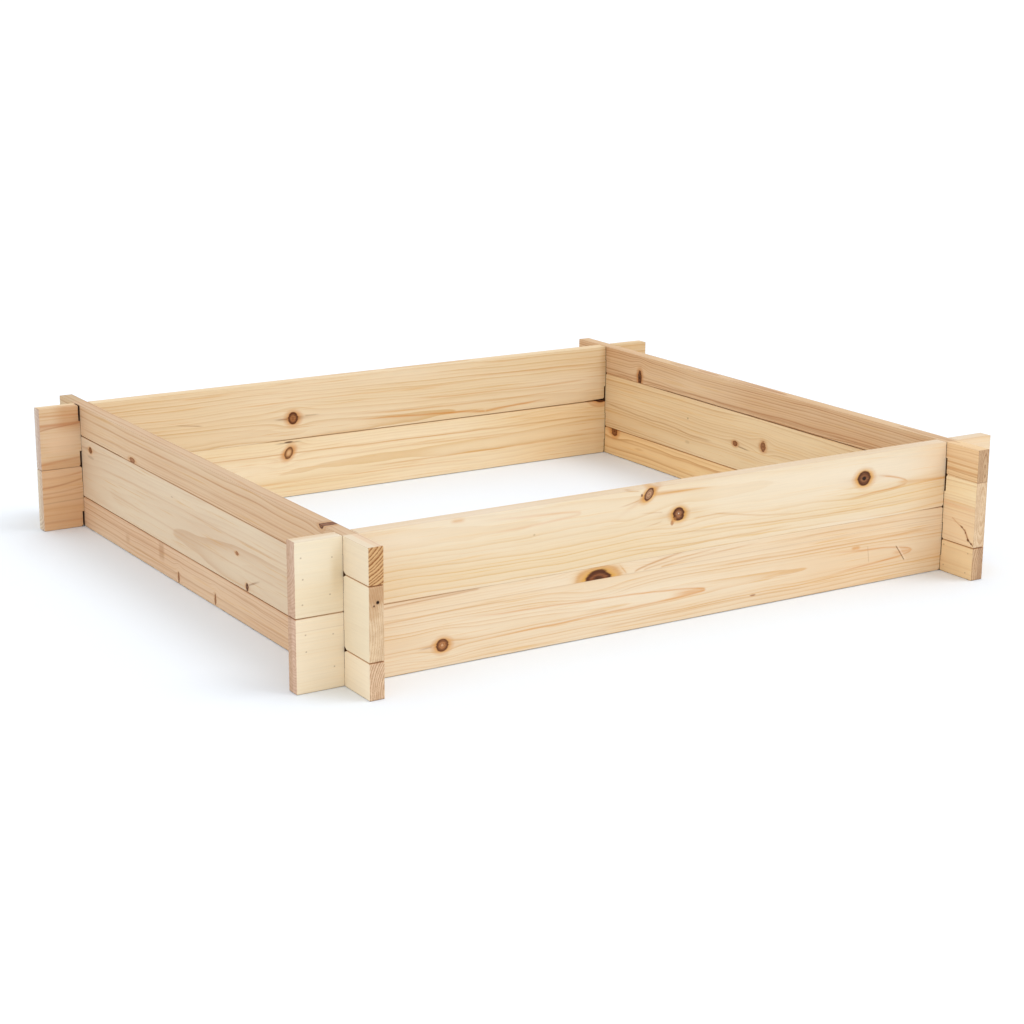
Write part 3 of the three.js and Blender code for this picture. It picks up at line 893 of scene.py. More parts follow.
BOARDS = {
    "front_board_upper": dict(
        axis="x", wall=-WALL_Y, levels=UPPER, gaps=((SNUG, TIGHT), CLOSE, (SNUG, TIGHT), CLOSE), flare=(0.9, 0.9), seed=3, body="upper_course",
        bottom_dip=[(-500, 0.2), (-440, 0.0), (-270, -0.06), (-130, -0.14), (40, -0.14), (80, -0.12), (380, -0.08), (415, 0.3), (500, 0.4)],
        bottom_arris=[(-500, 0.5), (-445, 0.2), (-120, 0.12), (40, 0.12), (380, 0.2), (440, 0.6)],
        knots=[
            dict(x=-29, z=162.5, r=7.4, aspect=1.0, lean=0.5, body=(206, 164, 128), body2=(150, 98, 62), rim_colour=(96, 50, 24), rim_f=0.95, core_f=0.0,
                 halo=0.9, halo_out=1.9, halo_colour=(226, 164, 72), collar=0.1, tongue=0.75, tongue_len=2.0, tongue_w=0.4, tongue_colour=(206, 136, 66), tx=0.1, tz=-0.25),
            dict(x=15, z=133, r=8.8, aspect=0.98, body=(168, 112, 72), body2=(124, 74, 42), rim_colour=(84, 42, 20), rim_f=1.0, rim=0.24, core=(242, 226, 200), core_r=0.22, rings=13.0,
                 halo=0.9, halo_out=1.8, halo_colour=(226, 166, 74), collar=0.1, collar_at=1.45, tongue=0.45, tx=-0.2, tz=-0.15),
            dict(x=298, z=139, r=10.4, aspect=0.95, body=(136, 84, 50), body2=(100, 58, 34), rim_colour=(84, 46, 24), rim_f=0.9, core=(34, 18, 10), core_r=0.36, core_f=0.95, rings=12.0,
                 halo=0.9, halo_colour=(228, 166, 72), halo_out=1.75, collar=0.12, collar_at=1.42, tongue=0.4, span=3.2, tx=0.25, tz=-0.2),
        ],
        wood=dict(
            WOOD, seam=(0.7, [(-340, -240, -0.65), (370, 430, 0.5)]), pith=(30, 150, 0.01, -0.006), spacing=3.6, contrast=0.44, sharp=1.9, late=(220, 166, 80), fibre_colour=(228, 184, 108),
            end_early=(222, 190, 162), end_late=(186, 146, 118), end_contrast=0.6, end_stains=0.5,
            streaks=[
                dict(a=(-24, 162), b=(72, 159), half=2.4, half2=1.0, strength=0.7, colour=(220, 158, 80), fade=(4, 60)),
                dict(a=(370, 126), b=(316, 141), bend=0.6, half=1.2, strength=0.6, colour=(216, 150, 80), fade=(6, 20)),
                dict(a=(370, 126), b=(262, 116), bend=0.5, half=1.2, strength=0.55, colour=(216, 150, 80), fade=(6, 40)),
                dict(a=(350, 127), b=(500, 121), half=2.6, half2=1.4, strength=0.55, colour=(224, 166, 94), fade=(14, 10)),
                dict(a=(-8, 138), b=(-44, 141), bend=0.7, half=0.8, strength=0.4, colour=(206, 150, 90), fade=(4, 20)),
                dict(a=(-8, 128), b=(-40, 123), bend=0.7, half=0.8, strength=0.35, colour=(206, 150, 90), fade=(4, 20)),
                dict(a=(-42, 168), b=(-66, 171), half=0.8, strength=0.4, colour=(206, 150, 90), fade=(4, 10)),
                dict(a=(-42, 158), b=(-76, 152), bend=0.7, half=0.8, strength=0.45, colour=(206, 150, 90), fade=(4, 20)),
                dict(a=(34, 124), b=(110, 122), sag=2, half=0.9, strength=0.4, colour=(214, 160, 94), fade=(10, 40)),
                dict(a=(-302, 166), b=(-280, 166), half=2.2, strength=0.5, colour=ORANGE, fade=(8, 8)),
                dict(a=(-125, 153), b=(-270, 161), bend=0.5, half=1.4, strength=0.3, colour=(228, 172, 122), fade=(4, 70)),
                dict(a=(-125, 153), b=(-270, 145), bend=0.5, half=1.4, strength=0.3, colour=(228, 172, 122), fade=(4, 70)),
                dict(a=(60, 128), b=(230, 108), sag=-4, half=1.0, strength=0.35, colour=(216, 164, 98), fade=(20, 60)),
                dict(a=(-20, 112), b=(420, 103), sag=-5, half=1.1, strength=0.4, colour=(214, 162, 94), fade=(60, 90)),
                dict(a=(-90, 99), b=(200, 95), sag=-3, half=1.0, strength=0.35, colour=(214, 162, 94), fade=(60, 60)),
            ],
            patches=[
                dict(x=(-500, 500), z=(134, 172), soft=(20, 6), colour=(248, 233, 206), strength=0.35),
                dict(x=(60, 280), z=(122, 162), soft=(30, 8), colour=(250, 236, 210), strength=0.4),
                dict(x=(-520, 520), z=(96, 118), soft=(20, 14), colour=(242, 212, 156), strength=0.22),
                dict(x=(-520, -436), z=(60, 180), soft=(2, 6), colour=(240, 224, 192), strength=0.8),
                # painted shade: a browner band on the stub beside the near slit, for the shade in that inner corner
                dict(x=(-452, -436), z=(112, 150), soft=(5, 22), colour=(214, 184, 132), strength=0.4),
            ],
            dots=[
                dict(x=-39.5, z=162.3, rx=1.5, rz=1.8, colour=(124, 72, 38), strength=0.85), dict(x=5.8, z=123, rx=2.4, rz=3.2, colour=(178, 112, 56), strength=0.7), dict(x=8.5, z=126.5, rx=3.6, rz=3.4, colour=(214, 148, 78), strength=0.5), dict(x=-190, z=136, rx=1.6, rz=1.2, strength=0.3),
                dict(x=-489, z=152, rx=1.1, rz=1.0, strength=0.4), dict(x=-487, z=128, rx=1.0, rz=1.0, strength=0.45),
                dict(x=-488, z=100, rx=1.1, rz=1.0, strength=0.45), dict(x=-455, z=107, rx=1.1, rz=1.0, strength=0.45), dict(x=-452, z=148, rx=1.0, rz=1.0, strength=0.4),
            ],
            # painted shade: the last tint darkens the whole top face, so that it is no lighter than the front face
            # under the light from above
            tints=[dict(x=(-434, -439), gain="front_upper_near"), dict(x=(-200, -400), z=(140, 112), gain=(0.98, 0.95, 0.91)), dict(x=(350, 410), gain=(1.02, 0.98, 0.94)), dict(x=(-600, -599), z=(169.3, 169.8), side=0, gain=(0.84, 0.83, 0.85))],
        ),
    ),
    "front_board_lower": dict(
        axis="x", wall=-WALL_Y, levels=LOWER, gaps=((SNUG, TIGHT), CLOSE, (SNUG, TIGHT), CLOSE), flare=(0.9, 0.9), seed=7, body="lower_course",
        top_arris=[(-500, 0.5), (-445, 0.25), (-120, 0.14), (40, 0.14), (380, 0.3), (440, 0.6)],
        bottom_arris=[(-500, 0.6), (500, 0.6)], bottom_dip=[(-500, 0.0), (-455, 0.1), (-430, 0.5), (-200, 0.75), (0, 0.6), (250, 0.8), (430, 0.5), (455, 0.1), (500, 0.0)],
        top_dip=[(-500, 0.15), (-300, -0.1), (40, -0.13), (380, -0.1), (430, 0.2), (500, 0.2)],
        knots=[
            dict(x=-312, z=26, r=7.8, aspect=1.0, body=(184, 124, 76), body2=(136, 82, 46), rim_colour=(92, 50, 26), rim_f=0.9, core=(230, 186, 142), core_r=0.24, rings=13.0,
                 halo=0.85, halo_out=1.8, halo_colour=(226, 164, 84), collar=0.15, tongue=0.4, tx=0.2, tz=0.1),
            dict(x=-102, z=69.5, r=18.5, aspect=0.66, above=70, body=(138, 78, 42), body2=(98, 52, 26), rim_colour=(84, 44, 20), core=(74, 40, 20), core_r=0.55, ragged=0.4,
                 halo=0.95, halo_out=2.1, halo_colour=(226, 168, 74), collar=0.55, collar_at=1.3, collar_colour=(206, 140, 66), tongue=0.0, span=2.0, rings=9.0, tx=0.1),
        ],
        wood=dict(
            WOOD, seam=(0.7, [(-340, -240, -0.65), (370, 430, 0.5)]), pith=(2.6, 35, 0.0125, 0.0), spacing=3.6, contrast=0.52, sharp=1.9, glue=70, wander=7.0, blush=(240, 212, 172), late=(218, 162, 82),
            fibre_colour=(226, 180, 106), end_early=(222, 190, 162), end_late=(186, 146, 118), end_contrast=0.6, end_stains=0.5,
            streaks=[
                dict(a=(57, 33.5), b=(-295, 52), bend=0.5, half=1.1, half2=0.9, strength=0.55, colour=(220, 154, 84), fade=(3, 90)),
                dict(a=(57, 33.5), b=(-280, 24), bend=0.5, half=1.1, half2=0.9, strength=0.55, colour=(220, 154, 84), fade=(3, 90)),
                dict(a=(58, 33.5), b=(0, 34), half=1.4, half2=4.2, strength=0.7, colour=(226, 162, 92), fade=(4, 34)),
                dict(a=(382, 35), b=(240, 50), bend=0.5, half=1.1, strength=0.6, colour=(220, 154, 86), fade=(3, 70)),
                dict(a=(382, 35), b=(240, 22), bend=0.5, half=1.1, strength=0.6, colour=(220, 154, 86), fade=(3, 70)),
                dict(a=(384, 35), b=(345, 35), half=1.2, half2=3.4, strength=0.55, colour=(224, 158, 88), fade=(4, 20)),
                dict(a=(-49, 71), b=(40, 88), bend=0.72, half=1.2, strength=0.6, colour=(206, 144, 80), fade=(3, 30), wig=0.3),
                dict(a=(-36, 71), b=(90, 84), bend=0.7, half=1.0, strength=0.4, colour=(212, 154, 88), fade=(3, 50), wig=0.3),
                dict(a=(-10, 71), b=(150, 81), bend=0.7, half=1.0, strength=0.4, colour=(212, 154, 88), fade=(3, 60), wig=0.3),
                dict(a=(-60, 71), b=(-72, 84), half=1.3, strength=0.5, colour=(216, 154, 84), fade=(2, 6), wig=0.3),
                dict(a=(282, 51), b=(298, 51), half=2.2, strength=0.6, colour=ORANGE, fade=(5, 5)),
                dict(a=(-325, 26), b=(-345, 25), half=1.0, strength=0.5, colour=(160, 108, 74), fade=(2, 12)),
                dict(a=(-420, 79), b=(-262, 84), half=1.2, strength=0.5, colour=(196, 138, 84), fade=(20, 6), wig=0.3),
                dict(a=(-430, 60), b=(-200, 64), sag=2, half=1.0, strength=0.4, colour=(212, 158, 92), fade=(30, 60)),
                dict(a=(-120, 8), b=(240, 12), sag=3, half=1.0, strength=0.4, colour=(214, 160, 94), fade=(60, 60)),
                dict(a=(60, 62), b=(420, 60), sag=-3, half=1.2, strength=0.45, colour=(218, 162, 94), fade=(60, 40)),
                dict(a=(150, 76), b=(440, 74), sag=2, half=1.0, strength=0.4, colour=(210, 156, 90), fade=(60, 20)),
            ],
            patches=[dict(x=(-520, -436), z=(-10, 100), soft=(2, 6), colour=(238, 221, 188), strength=0.8)],
            dots=[
                dict(x=129, z=14.5, rx=4.5, rz=1.2, strength=0.7, colour=(160, 98, 52)),
                dict(x=-485, z=66, rx=1.1, rz=1.0, strength=0.4), dict(x=-484.5, z=47, rx=1.1, rz=1.0, strength=0.4),
                dict(x=-452, z=62, rx=1.1, rz=1.0, strength=0.4), dict(x=-451, z=25, rx=1.1, rz=1.0, strength=0.4),
            ],
            tints=[dict(x=(-434, -439), gain="front_lower_near"), dict(x=(60, 260), gain=(0.995, 0.95, 0.9))],
            scratches=[
                dict(a=(309, 51), b=(312, 28), half=0.4, strength=0.5, colour=(170, 122, 84)),
                dict(a=(355, 45), b=(371, 22), half=0.6, strength=0.9, colour=(116, 70, 42)),
                dict(a=(357.8, 45), b=(373.8, 22), half=0.6, strength=0.6, colour=(252, 242, 224)),
            ],
        ),
    ),
    "back_board_upper": dict(
        axis="x", wall=WALL_Y, levels=UPPER, gaps=((LOOSE, TIGHT), (LOOSE, TIGHT), (LOOSE, TIGHT), CLOSE), seed=11, body="upper_course",
        bottom_dip=[(-500, 0.2), (-442, 0.1), (-424, -0.13), (-170, -0.13), (-140, 0.2), (100, 0.25), (380, 0.5), (405, 1.6), (424, 1.9), (500, 0.7)],
        bottom_arris=[(-500, 0.3), (-424, 0.12), (-170, 0.12), (-140, 0.4), (500, 0.6)],
        knots=[
            dict(x=-129.5, z=115.5, r=8.2, aspect=1.12, body=(166, 108, 62), body2=(118, 68, 34), rim_colour=(88, 46, 20), rim_f=0.95, core=(160, 106, 62), core_r=0.2, rings=12.0,
                 halo=0.8, halo_out=1.9, halo_colour=(216, 150, 78), collar=0.1, tongue=0.8, tongue_len=1.7, tongue_w=0.3, tongue_colour=(140, 84, 42), tx=0.2, tz=0.2),
        ],
        wood=dict(
            WOOD, seam=(0.05, [(-190, -140, 0.55)]), pith=(14, 96, 0.012, -0.006), spacing=3.8, contrast=0.42,
            streaks=[
                dict(a=(-110, 117), b=(-84, 117), half=0.8, strength=0.55, colour=(140, 94, 60), fade=(3, 12)),
                dict(a=(-160, 117), b=(-136, 116), half=0.8, strength=0.55, colour=(130, 84, 54), fade=(12, 3)),
                dict(a=(-312, 125), b=(-268, 120), half=0.8, strength=0.55, colour=(170, 118, 78), fade=(10, 10)),
                dict(a=(200, 90), b=(-60, 104), bend=0.7, half=1.6, half2=1.0, strength=0.65, colour=(216, 148, 72), fade=(3, 110)),
                dict(a=(200, 90), b=(330, 99), bend=0.7, half=1.6, half2=1.0, strength=0.65, colour=(216, 148, 72), fade=(3, 60)),
                dict(a=(150, 94), b=(250, 94), sag=-3, half=2.2, strength=0.4, colour=(222, 160, 80), fade=(40, 40)),
                dict(a=(-60, 113), b=(330, 108), sag=-4, half=1.2, strength=0.45, colour=(214, 154, 80), fade=(80, 60)),
                dict(a=(60, 124), b=(400, 122), sag=-3, half=1.2, strength=0.45, colour=(216, 158, 84), fade=(60, 40)),
                dict(a=(-260, 140), b=(200, 138), sag=2, half=1.0, strength=0.35, colour=(222, 168, 98), fade=(90, 90)),
                dict(a=(150, 146), b=(410, 143), sag=1.5, half=1.2, strength=0.35, colour=(214, 154, 80), fade=(60, 40)),
                dict(a=(-502, 145), b=(-436, 147), half=3.2, half2=1.6, strength=0.55, colour=(200, 130, 74), fade=(2, 4), wig=0.4),
                dict(a=(-502, 139), b=(-440, 146), bend=0.6, half=1.0, strength=0.5, colour=(186, 120, 72), fade=(2, 10), wig=0.4),
                dict(a=(-502, 160), b=(-440, 158), half=1.4, strength=0.4, colour=(210, 146, 88), fade=(2, 4), wig=0.4),
                dict(a=(-502, 93), b=(-440, 99), half=1.6, strength=0.45, colour=(204, 136, 80), fade=(4, 6), wig=0.4),
            ],
            patches=[
                dict(x=(-474, -436), z=(138, 176), soft=(12, 10), colour=(206, 150, 92), strength=0.45),
                dict(x=(-520, -436), z=(84, 97), soft=(2, 4), colour=(214, 158, 104), strength=0.4),
                dict(x=(-490, -446), z=(104, 130), soft=(12, 10), colour=(252, 232, 204), strength=0.75),
            ],
            end_early=(206, 180, 156), end_late=(160, 128, 104), end_contrast=0.7,
            tints=[
                # painted shade: the first tint darkens the board's end by the right wall, for the shade in that inner
                # corner
                dict(x=(410, 424), gain=(0.88, 0.82, 0.74)), dict(x=(-424, -444), gain="back_far"), dict(x=(-499, -499.5), side=0, cut=True, gain=(1.3, 1.6, 2.05)),
                # painted shade: this tint darkens the whole top face, so that it is no lighter than the front face
                # under the light from above
                dict(x=(-600, -599), z=(169.3, 169.8), side=0, gain=(0.88, 0.87, 0.86)),
            ],
        ),
    ),
    "back_board_lower": dict(
        axis="x", wall=WALL_Y, levels=LOWER, gaps=((LOOSE, TIGHT), (EASY, TIGHT), CLOSE, CLOSE), seed=17, body="lower_course",
        bottom_arris=[(-500, 0.6), (500, 0.6)], bottom_dip=[(-500, 0.0), (-455, 0.1), (-430, 0.5), (-200, 0.75), (0, 0.6), (250, 0.8), (430, 0.5), (455, 0.1), (500, 0.0)],
        top_arris=[(-500, 0.3), (-424, 0.12), (-170, 0.12), (-140, 0.4), (500, 0.6)],
        top_dip=[(-500, 0.1), (-442, 0.0), (-424, -0.13), (-170, -0.13), (-140, 0.1), (380, 0.2), (405, 0.5), (500, 0.4)],
        knots=[
            dict(x=-136, z=66, r=7.4, aspect=1.2, lean=0.35, body=(214, 166, 116), body2=(160, 104, 60), rim_colour=(100, 56, 28), rim_f=0.9, core=(230, 190, 146), core_r=0.4, rings=13.0,
                 halo=0.8, halo_out=1.9, halo_colour=(216, 150, 80), collar=0.1, tongue=0.6, tongue_len=1.5, tongue_colour=(196, 126, 62), tx=0.1, tz=0.1),
            dict(x=417, z=91, r=13, aspect=0.72, body=(150, 88, 42), body2=(100, 54, 26), rim_colour=(84, 44, 20), core=(60, 32, 16), core_r=0.6,
                 halo=0.8, halo_out=2.1, halo_colour=(216, 148, 74), collar=0.45, collar_at=1.6, tongue=0.2),
        ],
        wood=dict(
            WOOD, seam=(0.05, [(-190, -140, 0.55)]), pith=(16, 40, -0.006, 0.004), spacing=3.9, contrast=0.3,
            streaks=[
                dict(a=(-420, 66), b=(420, 62), half=1.1, strength=0.5, colour=(204, 146, 76), fade=(60, 60)),
                dict(a=(-160, 80.6), b=(-112, 81), half=0.9, strength=0.6, colour=(120, 78, 50), fade=(12, 12), wig=0.2),
                dict(a=(-120, 52), b=(300, 50), sag=2, half=1.1, strength=0.4, colour=(212, 156, 82), fade=(80, 80)),
                dict(a=(-40, 30), b=(400, 34), sag=-2, half=1.2, strength=0.45, colour=(212, 154, 78), fade=(80, 40)),
                dict(a=(-300, 22), b=(200, 18), sag=2, half=1.1, strength=0.35, colour=(216, 160, 88), fade=(80, 80)),
                dict(a=(-505, 38), b=(-440, 40), half=0.8, strength=0.35, colour=(160, 104, 64), fade=(2, 2), wig=0.3),
                dict(a=(-505, 73), b=(-440, 78), sag=-2, half=1.3, strength=0.35, colour=(196, 124, 66), fade=(2, 6), wig=0.5),
                dict(a=(-505, 60), b=(-440, 69), sag=-2, half=1.3, strength=0.45, colour=(180, 110, 60), fade=(2, 6), wig=0.5),
                dict(a=(-505, 52), b=(-440, 57), sag=-1.5, half=1.0, strength=0.35, colour=(186, 116, 62), fade=(2, 6), wig=0.5),
                dict(a=(-505, 46), b=(-440, 49), sag=-1, half=1.0, strength=0.3, colour=(190, 120, 66), fade=(2, 6), wig=0.5),
                dict(a=(-505, 30), b=(-440, 31), half=1.2, strength=0.2, colour=(198, 130, 76), fade=(2, 6), wig=0.5),
                dict(a=(-505, 21), b=(-440, 22), half=1.0, strength=0.2, colour=(198, 130, 76), fade=(2, 6), wig=0.5),
                dict(a=(-505, 11), b=(-440, 12), half=1.6, strength=0.35, colour=(190, 120, 68), fade=(2, 6), wig=0.5),
            ],
            dots=[dict(x=-136, z=81.5, rx=7, rz=1.5, strength=0.85, colour=(92, 58, 38))],
            patches=[dict(x=(-520, -436), z=(-10, 40), soft=(2, 8), colour=(222, 168, 112), strength=0.5), dict(x=(-520, -436), z=(40, 90), soft=(2, 6), colour=(218, 162, 104), strength=0.4)],
            tints=[
                # painted shade: the first tint darkens the board slightly by the right wall, for the shade in that
                # inner corner
                dict(x=(396, 424), gain=(0.95, 0.95, 0.94)), dict(x=(180, 340), gain=(0.97, 0.9, 0.8)), dict(x=(-424, -444), gain="back_far"), dict(x=(-499, -499.5), side=0, cut=True, gain=(1.3, 1.65, 2.0)),
            ],
            end_early=(206, 176, 148), end_late=(156, 122, 96), end_contrast=0.7,
        ),
    ),
    "left_board_top": dict(
        axis="y", wall=-WALL_X, levels=TOP, gaps=(CLOSE, CLOSE, None, None), flare=WIDE_FLARE, seed=23, body="left_rim_board",
        bottom_dip=[(-450, 0.0), (-400, 0.05), (-380, 0.0), (220, 0.0), (240, 0.5), (450, 0.5)],
        bottom_arris=[(-450, 0.6), (-390, 0.6), (-380, 0.25), (220, 0.25), (240, 0.6), (450, 0.6)],
        knots=[
            dict(x=188, z=131, r=8, aspect=0.42, body=(186, 130, 84), body2=(150, 98, 58), rim_colour=(136, 86, 50), rim_f=0.7, core_f=0.0, halo=0.7, halo_out=2.1, collar=0.0, tongue=0.5, ragged=0.8),
            dict(x=-350, z=171.5, r=6, aspect=1, body=(150, 96, 60), body2=(118, 70, 42), rim_colour=(96, 54, 30), halo=0.6, tongue=0.5, core_f=0.0),
        ],
        wood=dict(
            WOOD, dark=(9.02, 8.7), early=(240, 214, 178), late=(196, 144, 98), blush=(226, 186, 144), pith=(-46, 214, 0.0, 0.0), spacing=3.5, contrast=0.62,
            end_early=(238, 204, 158), end_late=(158, 104, 58), end_contrast=1.15, end_stains=0.12, end_pith=(-46, 214, 1.0, 3.7),
            # painted light: this pale patch and the first tint make the near stub lighter than the shaded rest of the
            # board
            patches=[dict(x=(-460, -394), z=(120, 180), soft=(3, 6), colour=(240, 222, 188), strength=0.85)],
            # painted shade: the third tint darkens the whole top face, so that it is no lighter than the side face
            # under the light from above
            tints=[dict(x=(-391, -394), side=0, gain="left_near_painted_light"), dict(x=(-449, -449.5), side=0, cut=True, gain="end_near_top"), dict(x=(-600, -599), z=(169.3, 169.8), side=0, gain=(0.84, 0.84, 0.86)), dict(x=(400, 404), side=0, gain=(0.93, 1.0, 0.98))],
            streaks=[
                dict(a=(-380, 141), b=(380, 139), sag=1.5, half=1.0, strength=0.45, colour=(190, 136, 92), fade=(80, 60)),
                dict(a=(-250, 158), b=(360, 155), sag=-1.5, half=1.0, strength=0.45, colour=(196, 142, 96), fade=(80, 60)),
            ],
        ),
    ),
    "left_board_middle": dict(
        axis="y", wall=-WALL_X, levels=MIDDLE, gaps=(CLOSE, CLOSE, CLOSE, CLOSE), flare=WIDE_FLARE, seed=29, body="middle_course",
        bottom_dip=[(-450, 0.05), (-394, 0.1), (-380, 0.4), (-262, 0.4), (-46, 0.35), (0, 0.05), (140, 0.1), (150, 0.4), (316, 0.45), (450, 0.3)],
        bottom_arris=[(-450, 0.6), (450, 0.5)],
        top_arris=[(-450, 0.6), (-390, 0.6), (-380, 0.25), (220, 0.25), (240, 0.6), (450, 0.6)],
        top_dip=[(-450, 0.05), (-392, 0.05), (-380, -0.1), (220, -0.1), (240, 0.2), (450, 0.2)],
        knots=[
            dict(x=336, z=113.5, r=5.6, aspect=0.8, body=(170, 114, 70), body2=(120, 74, 42), rim_colour=(104, 60, 32), rim_f=0.8, core=(110, 66, 38), halo=0.7, collar=0.0, tongue=0.6, ragged=0.7),
            dict(x=-130, z=83.5, r=4.4, aspect=0.6, body=(190, 136, 92), body2=(156, 102, 62), rim_colour=(150, 98, 60), rim_f=0.6, core_f=0.0, halo=0.6, collar=0.0, tongue=0.5, ragged=0.7),
            dict(x=-156, z=48.5, r=4.0, aspect=1.2, body=(118, 70, 42), body2=(90, 50, 28), rim_colour=(78, 42, 22), core_f=0.0, halo=0.7, collar=0.0, tongue=0.5, ragged=0.9),
        ],
        wood=dict(
            WOOD, dark=(9.02, 8.7), early=(242, 224, 196), late=(206, 162, 118), blush=(226, 198, 168), pith=(62, 66, 0.02, 0.004), spacing=3.6, contrast=0.42,
            end_early=(236, 208, 174), end_late=(196, 148, 108), end_contrast=0.62, end_pith=(-38, 74, 0.5, 2.6),
            # painted light: this pale patch and the first tint make the near stub lighter than the shaded rest of the
            # board
            patches=[dict(x=(-460, -394), z=(30, 140), soft=(3, 6), colour=(240, 222, 188), strength=0.85)],
            tints=[dict(x=(-391, -394), side=0, gain="left_near_painted_light"), dict(x=(-449, -449.5), side=0, cut=True, gain="end_near_middle")],
            streaks=[
                dict(a=(-160, 52), b=(-196, 66), half=1.2, strength=0.6, colour=(150, 104, 72), fade=(3, 24), wig=0.4),
                dict(a=(-340, 100), b=(340, 96), sag=3, half=1.2, strength=0.3, colour=(206, 158, 114), fade=(90, 90)),
                dict(a=(-300, 70), b=(320, 72), sag=-3, half=1.2, strength=0.3, colour=(206, 158, 114), fade=(90, 90)),
            ],
            dots=[
                dict(x=336, z=104, rx=12, rz=2, strength=0.25), dict(x=60, z=110, rx=3, rz=1, strength=0.25),
            ],
            end_dots=[
                dict(end=-1, y=0, z=117, r=15, strength=0.6, colour=(182, 130, 84)), dict(end=-1, y=-4, z=98, r=9, strength=0.35, colour=(190, 140, 94)),
                dict(end=-1, y=1.5, z=109, r=2.3, strength=1.0, colour=(40, 18, 8)), dict(end=-1, y=-3.0, z=105.5, r=1.3, strength=0.9, colour=(84, 46, 24)),
            ],
        ),
    ),
    "left_board_bottom": dict(
        axis="y", wall=-WALL_X, levels=BOTTOM, gaps=(None, None, CLOSE, CLOSE), flare=WIDE_FLARE, seed=31, body="ground_course",
        bottom_arris=[(-450, 0.6), (450, 0.6)], bottom_dip=[(-450, 0.0), (-405, 0.1), (-380, 0.5), (-200, 0.75), (0, 0.6), (250, 0.8), (380, 0.5), (405, 0.1), (450, 0.0)],
        top_arris=[(-450, 0.6), (450, 0.5)],
        knots=[
            dict(x=36, z=9, r=2.6, aspect=2.9, body=(160, 104, 62), body2=(132, 82, 46), rim_colour=(124, 76, 42), rim_f=0.6, core_f=0.0, halo=0.3, collar=0.0, tongue=0.25, solid=0.9, ragged=0.7),
            dict(x=-74, z=9, r=2.6, aspect=2.9, body=(160, 104, 62), body2=(132, 82, 46), rim_colour=(124, 76, 42), rim_f=0.6, core_f=0.0, halo=0.3, collar=0.0, tongue=0.25, solid=0.9, ragged=0.7),
        ],
        wood=dict(
            WOOD, dark=(9.02, 8.7), early=(238, 210, 178), late=(196, 146, 104), blush=(222, 182, 146), pith=(12, -14, 0.008, 0.006), spacing=3.0, contrast=0.6, wobble=4.5,
            end_early=(232, 202, 168), end_late=(172, 124, 86), end_contrast=0.85, end_pith=(42, 6, 0.8, 2.7),
            patches=[
                dict(x=(82, 98), z=(20, 40), soft=(4, 6), colour=(184, 134, 92), strength=0.5),
                dict(x=(200, 212), z=(14, 24), soft=(4, 5), colour=(190, 142, 102), strength=0.35),
                # painted light: the pale patch below and the first tint make the near stub lighter than the shaded rest
                # of the board
                dict(x=(-460, -394), z=(-10, 60), soft=(3, 6), colour=(240, 222, 190), strength=0.85),
            ],
            tints=[dict(x=(-391, -394), side=0, gain="left_near_painted_light"), dict(x=(-449, -449.5), side=0, cut=True, gain="end_near_bottom")],
            streaks=[
                dict(a=(-380, 30), b=(380, 27), sag=2, half=1.0, strength=0.45, colour=(188, 136, 94), fade=(60, 60)),
                dict(a=(-380, 15), b=(380, 14), sag=-1.5, half=1.0, strength=0.45, colour=(190, 138, 96), fade=(60, 60)),
            ],
        ),
    ),
    "right_board_top": dict(
        axis="y", wall=WALL_X, levels=TOP, gaps=((LOOSE, TIGHT), (EASY, TIGHT), None, None), seed=37, body="right_rim_board",
        bottom_dip=[(-450, -0.1), (-394, -0.1), (-380, 0.5), (180, 0.6), (270, -0.05), (450, -0.05)],
        bottom_arris=[(-450, 0.15), (-394, 0.15), (-380, 0.6), (180, 0.7), (270, 0.2), (450, 0.2)],
        knots=[
            dict(x=282, z=136, r=4.6, aspect=2.2, body=(124, 70, 34), body2=(92, 48, 22), rim_colour=(74, 38, 18), core=(56, 28, 14), core_r=0.5, halo=0.8, halo_out=2.3, halo_colour=(200, 124, 56), collar=0.1, tongue=0.4, ragged=0.8),
        ],
        wood=dict(
            WOOD, calm=-392, seam=(0.75, [(190, 270, -0.45)]), early=(236, 200, 150), late=(180, 120, 70), blush=(216, 164, 108), pith=(0, 184, 0.0, 0.0), spacing=3.6, contrast=0.75,
            end_early=(220, 186, 150), end_late=(158, 110, 74), end_contrast=0.8, end_pith=(3, 142, 0.22, 2.3),
            streaks=[
                dict(a=(-470, 139), b=(-390, 138), half=1.6, strength=0.6, colour=(196, 134, 76), fade=(2, 2), wig=0.5),
                dict(a=(-470, 146), b=(-390, 146), half=1.2, strength=0.6, colour=(196, 134, 76), fade=(2, 2), wig=0.5),
                dict(a=(-470, 152), b=(-390, 153), half=1.2, strength=0.5, colour=(200, 140, 84), fade=(2, 2), wig=0.5),
                dict(a=(-380, 134), b=(360, 132), sag=1, half=1.6, strength=0.5, colour=(176, 114, 62), fade=(40, 40)),
            ],
            patches=[dict(x=(-460, -392), z=(146, 180), soft=(2, 8), colour=(232, 190, 140), strength=0.55)],
            # painted shade: the last tint darkens the whole top face, so that it is no lighter than the side face under
            # the light from above
            tints=[dict(x=(-391, -394), side=0, gain="right_near_top"), dict(x=(-449, -449.5), side=0, cut=True, gain="end_right"), dict(x=(-600, -599), z=(169.3, 169.8), side=0, gain=(0.88, 0.88, 0.88))],
        ),
    ),
    "right_board_middle": dict(
        axis="y", wall=WALL_X, levels=MIDDLE, gaps=((EASY, TIGHT), (EASY, TIGHT), (LOOSE, TIGHT), (EASY, TIGHT)), seed=41, body="middle_course",
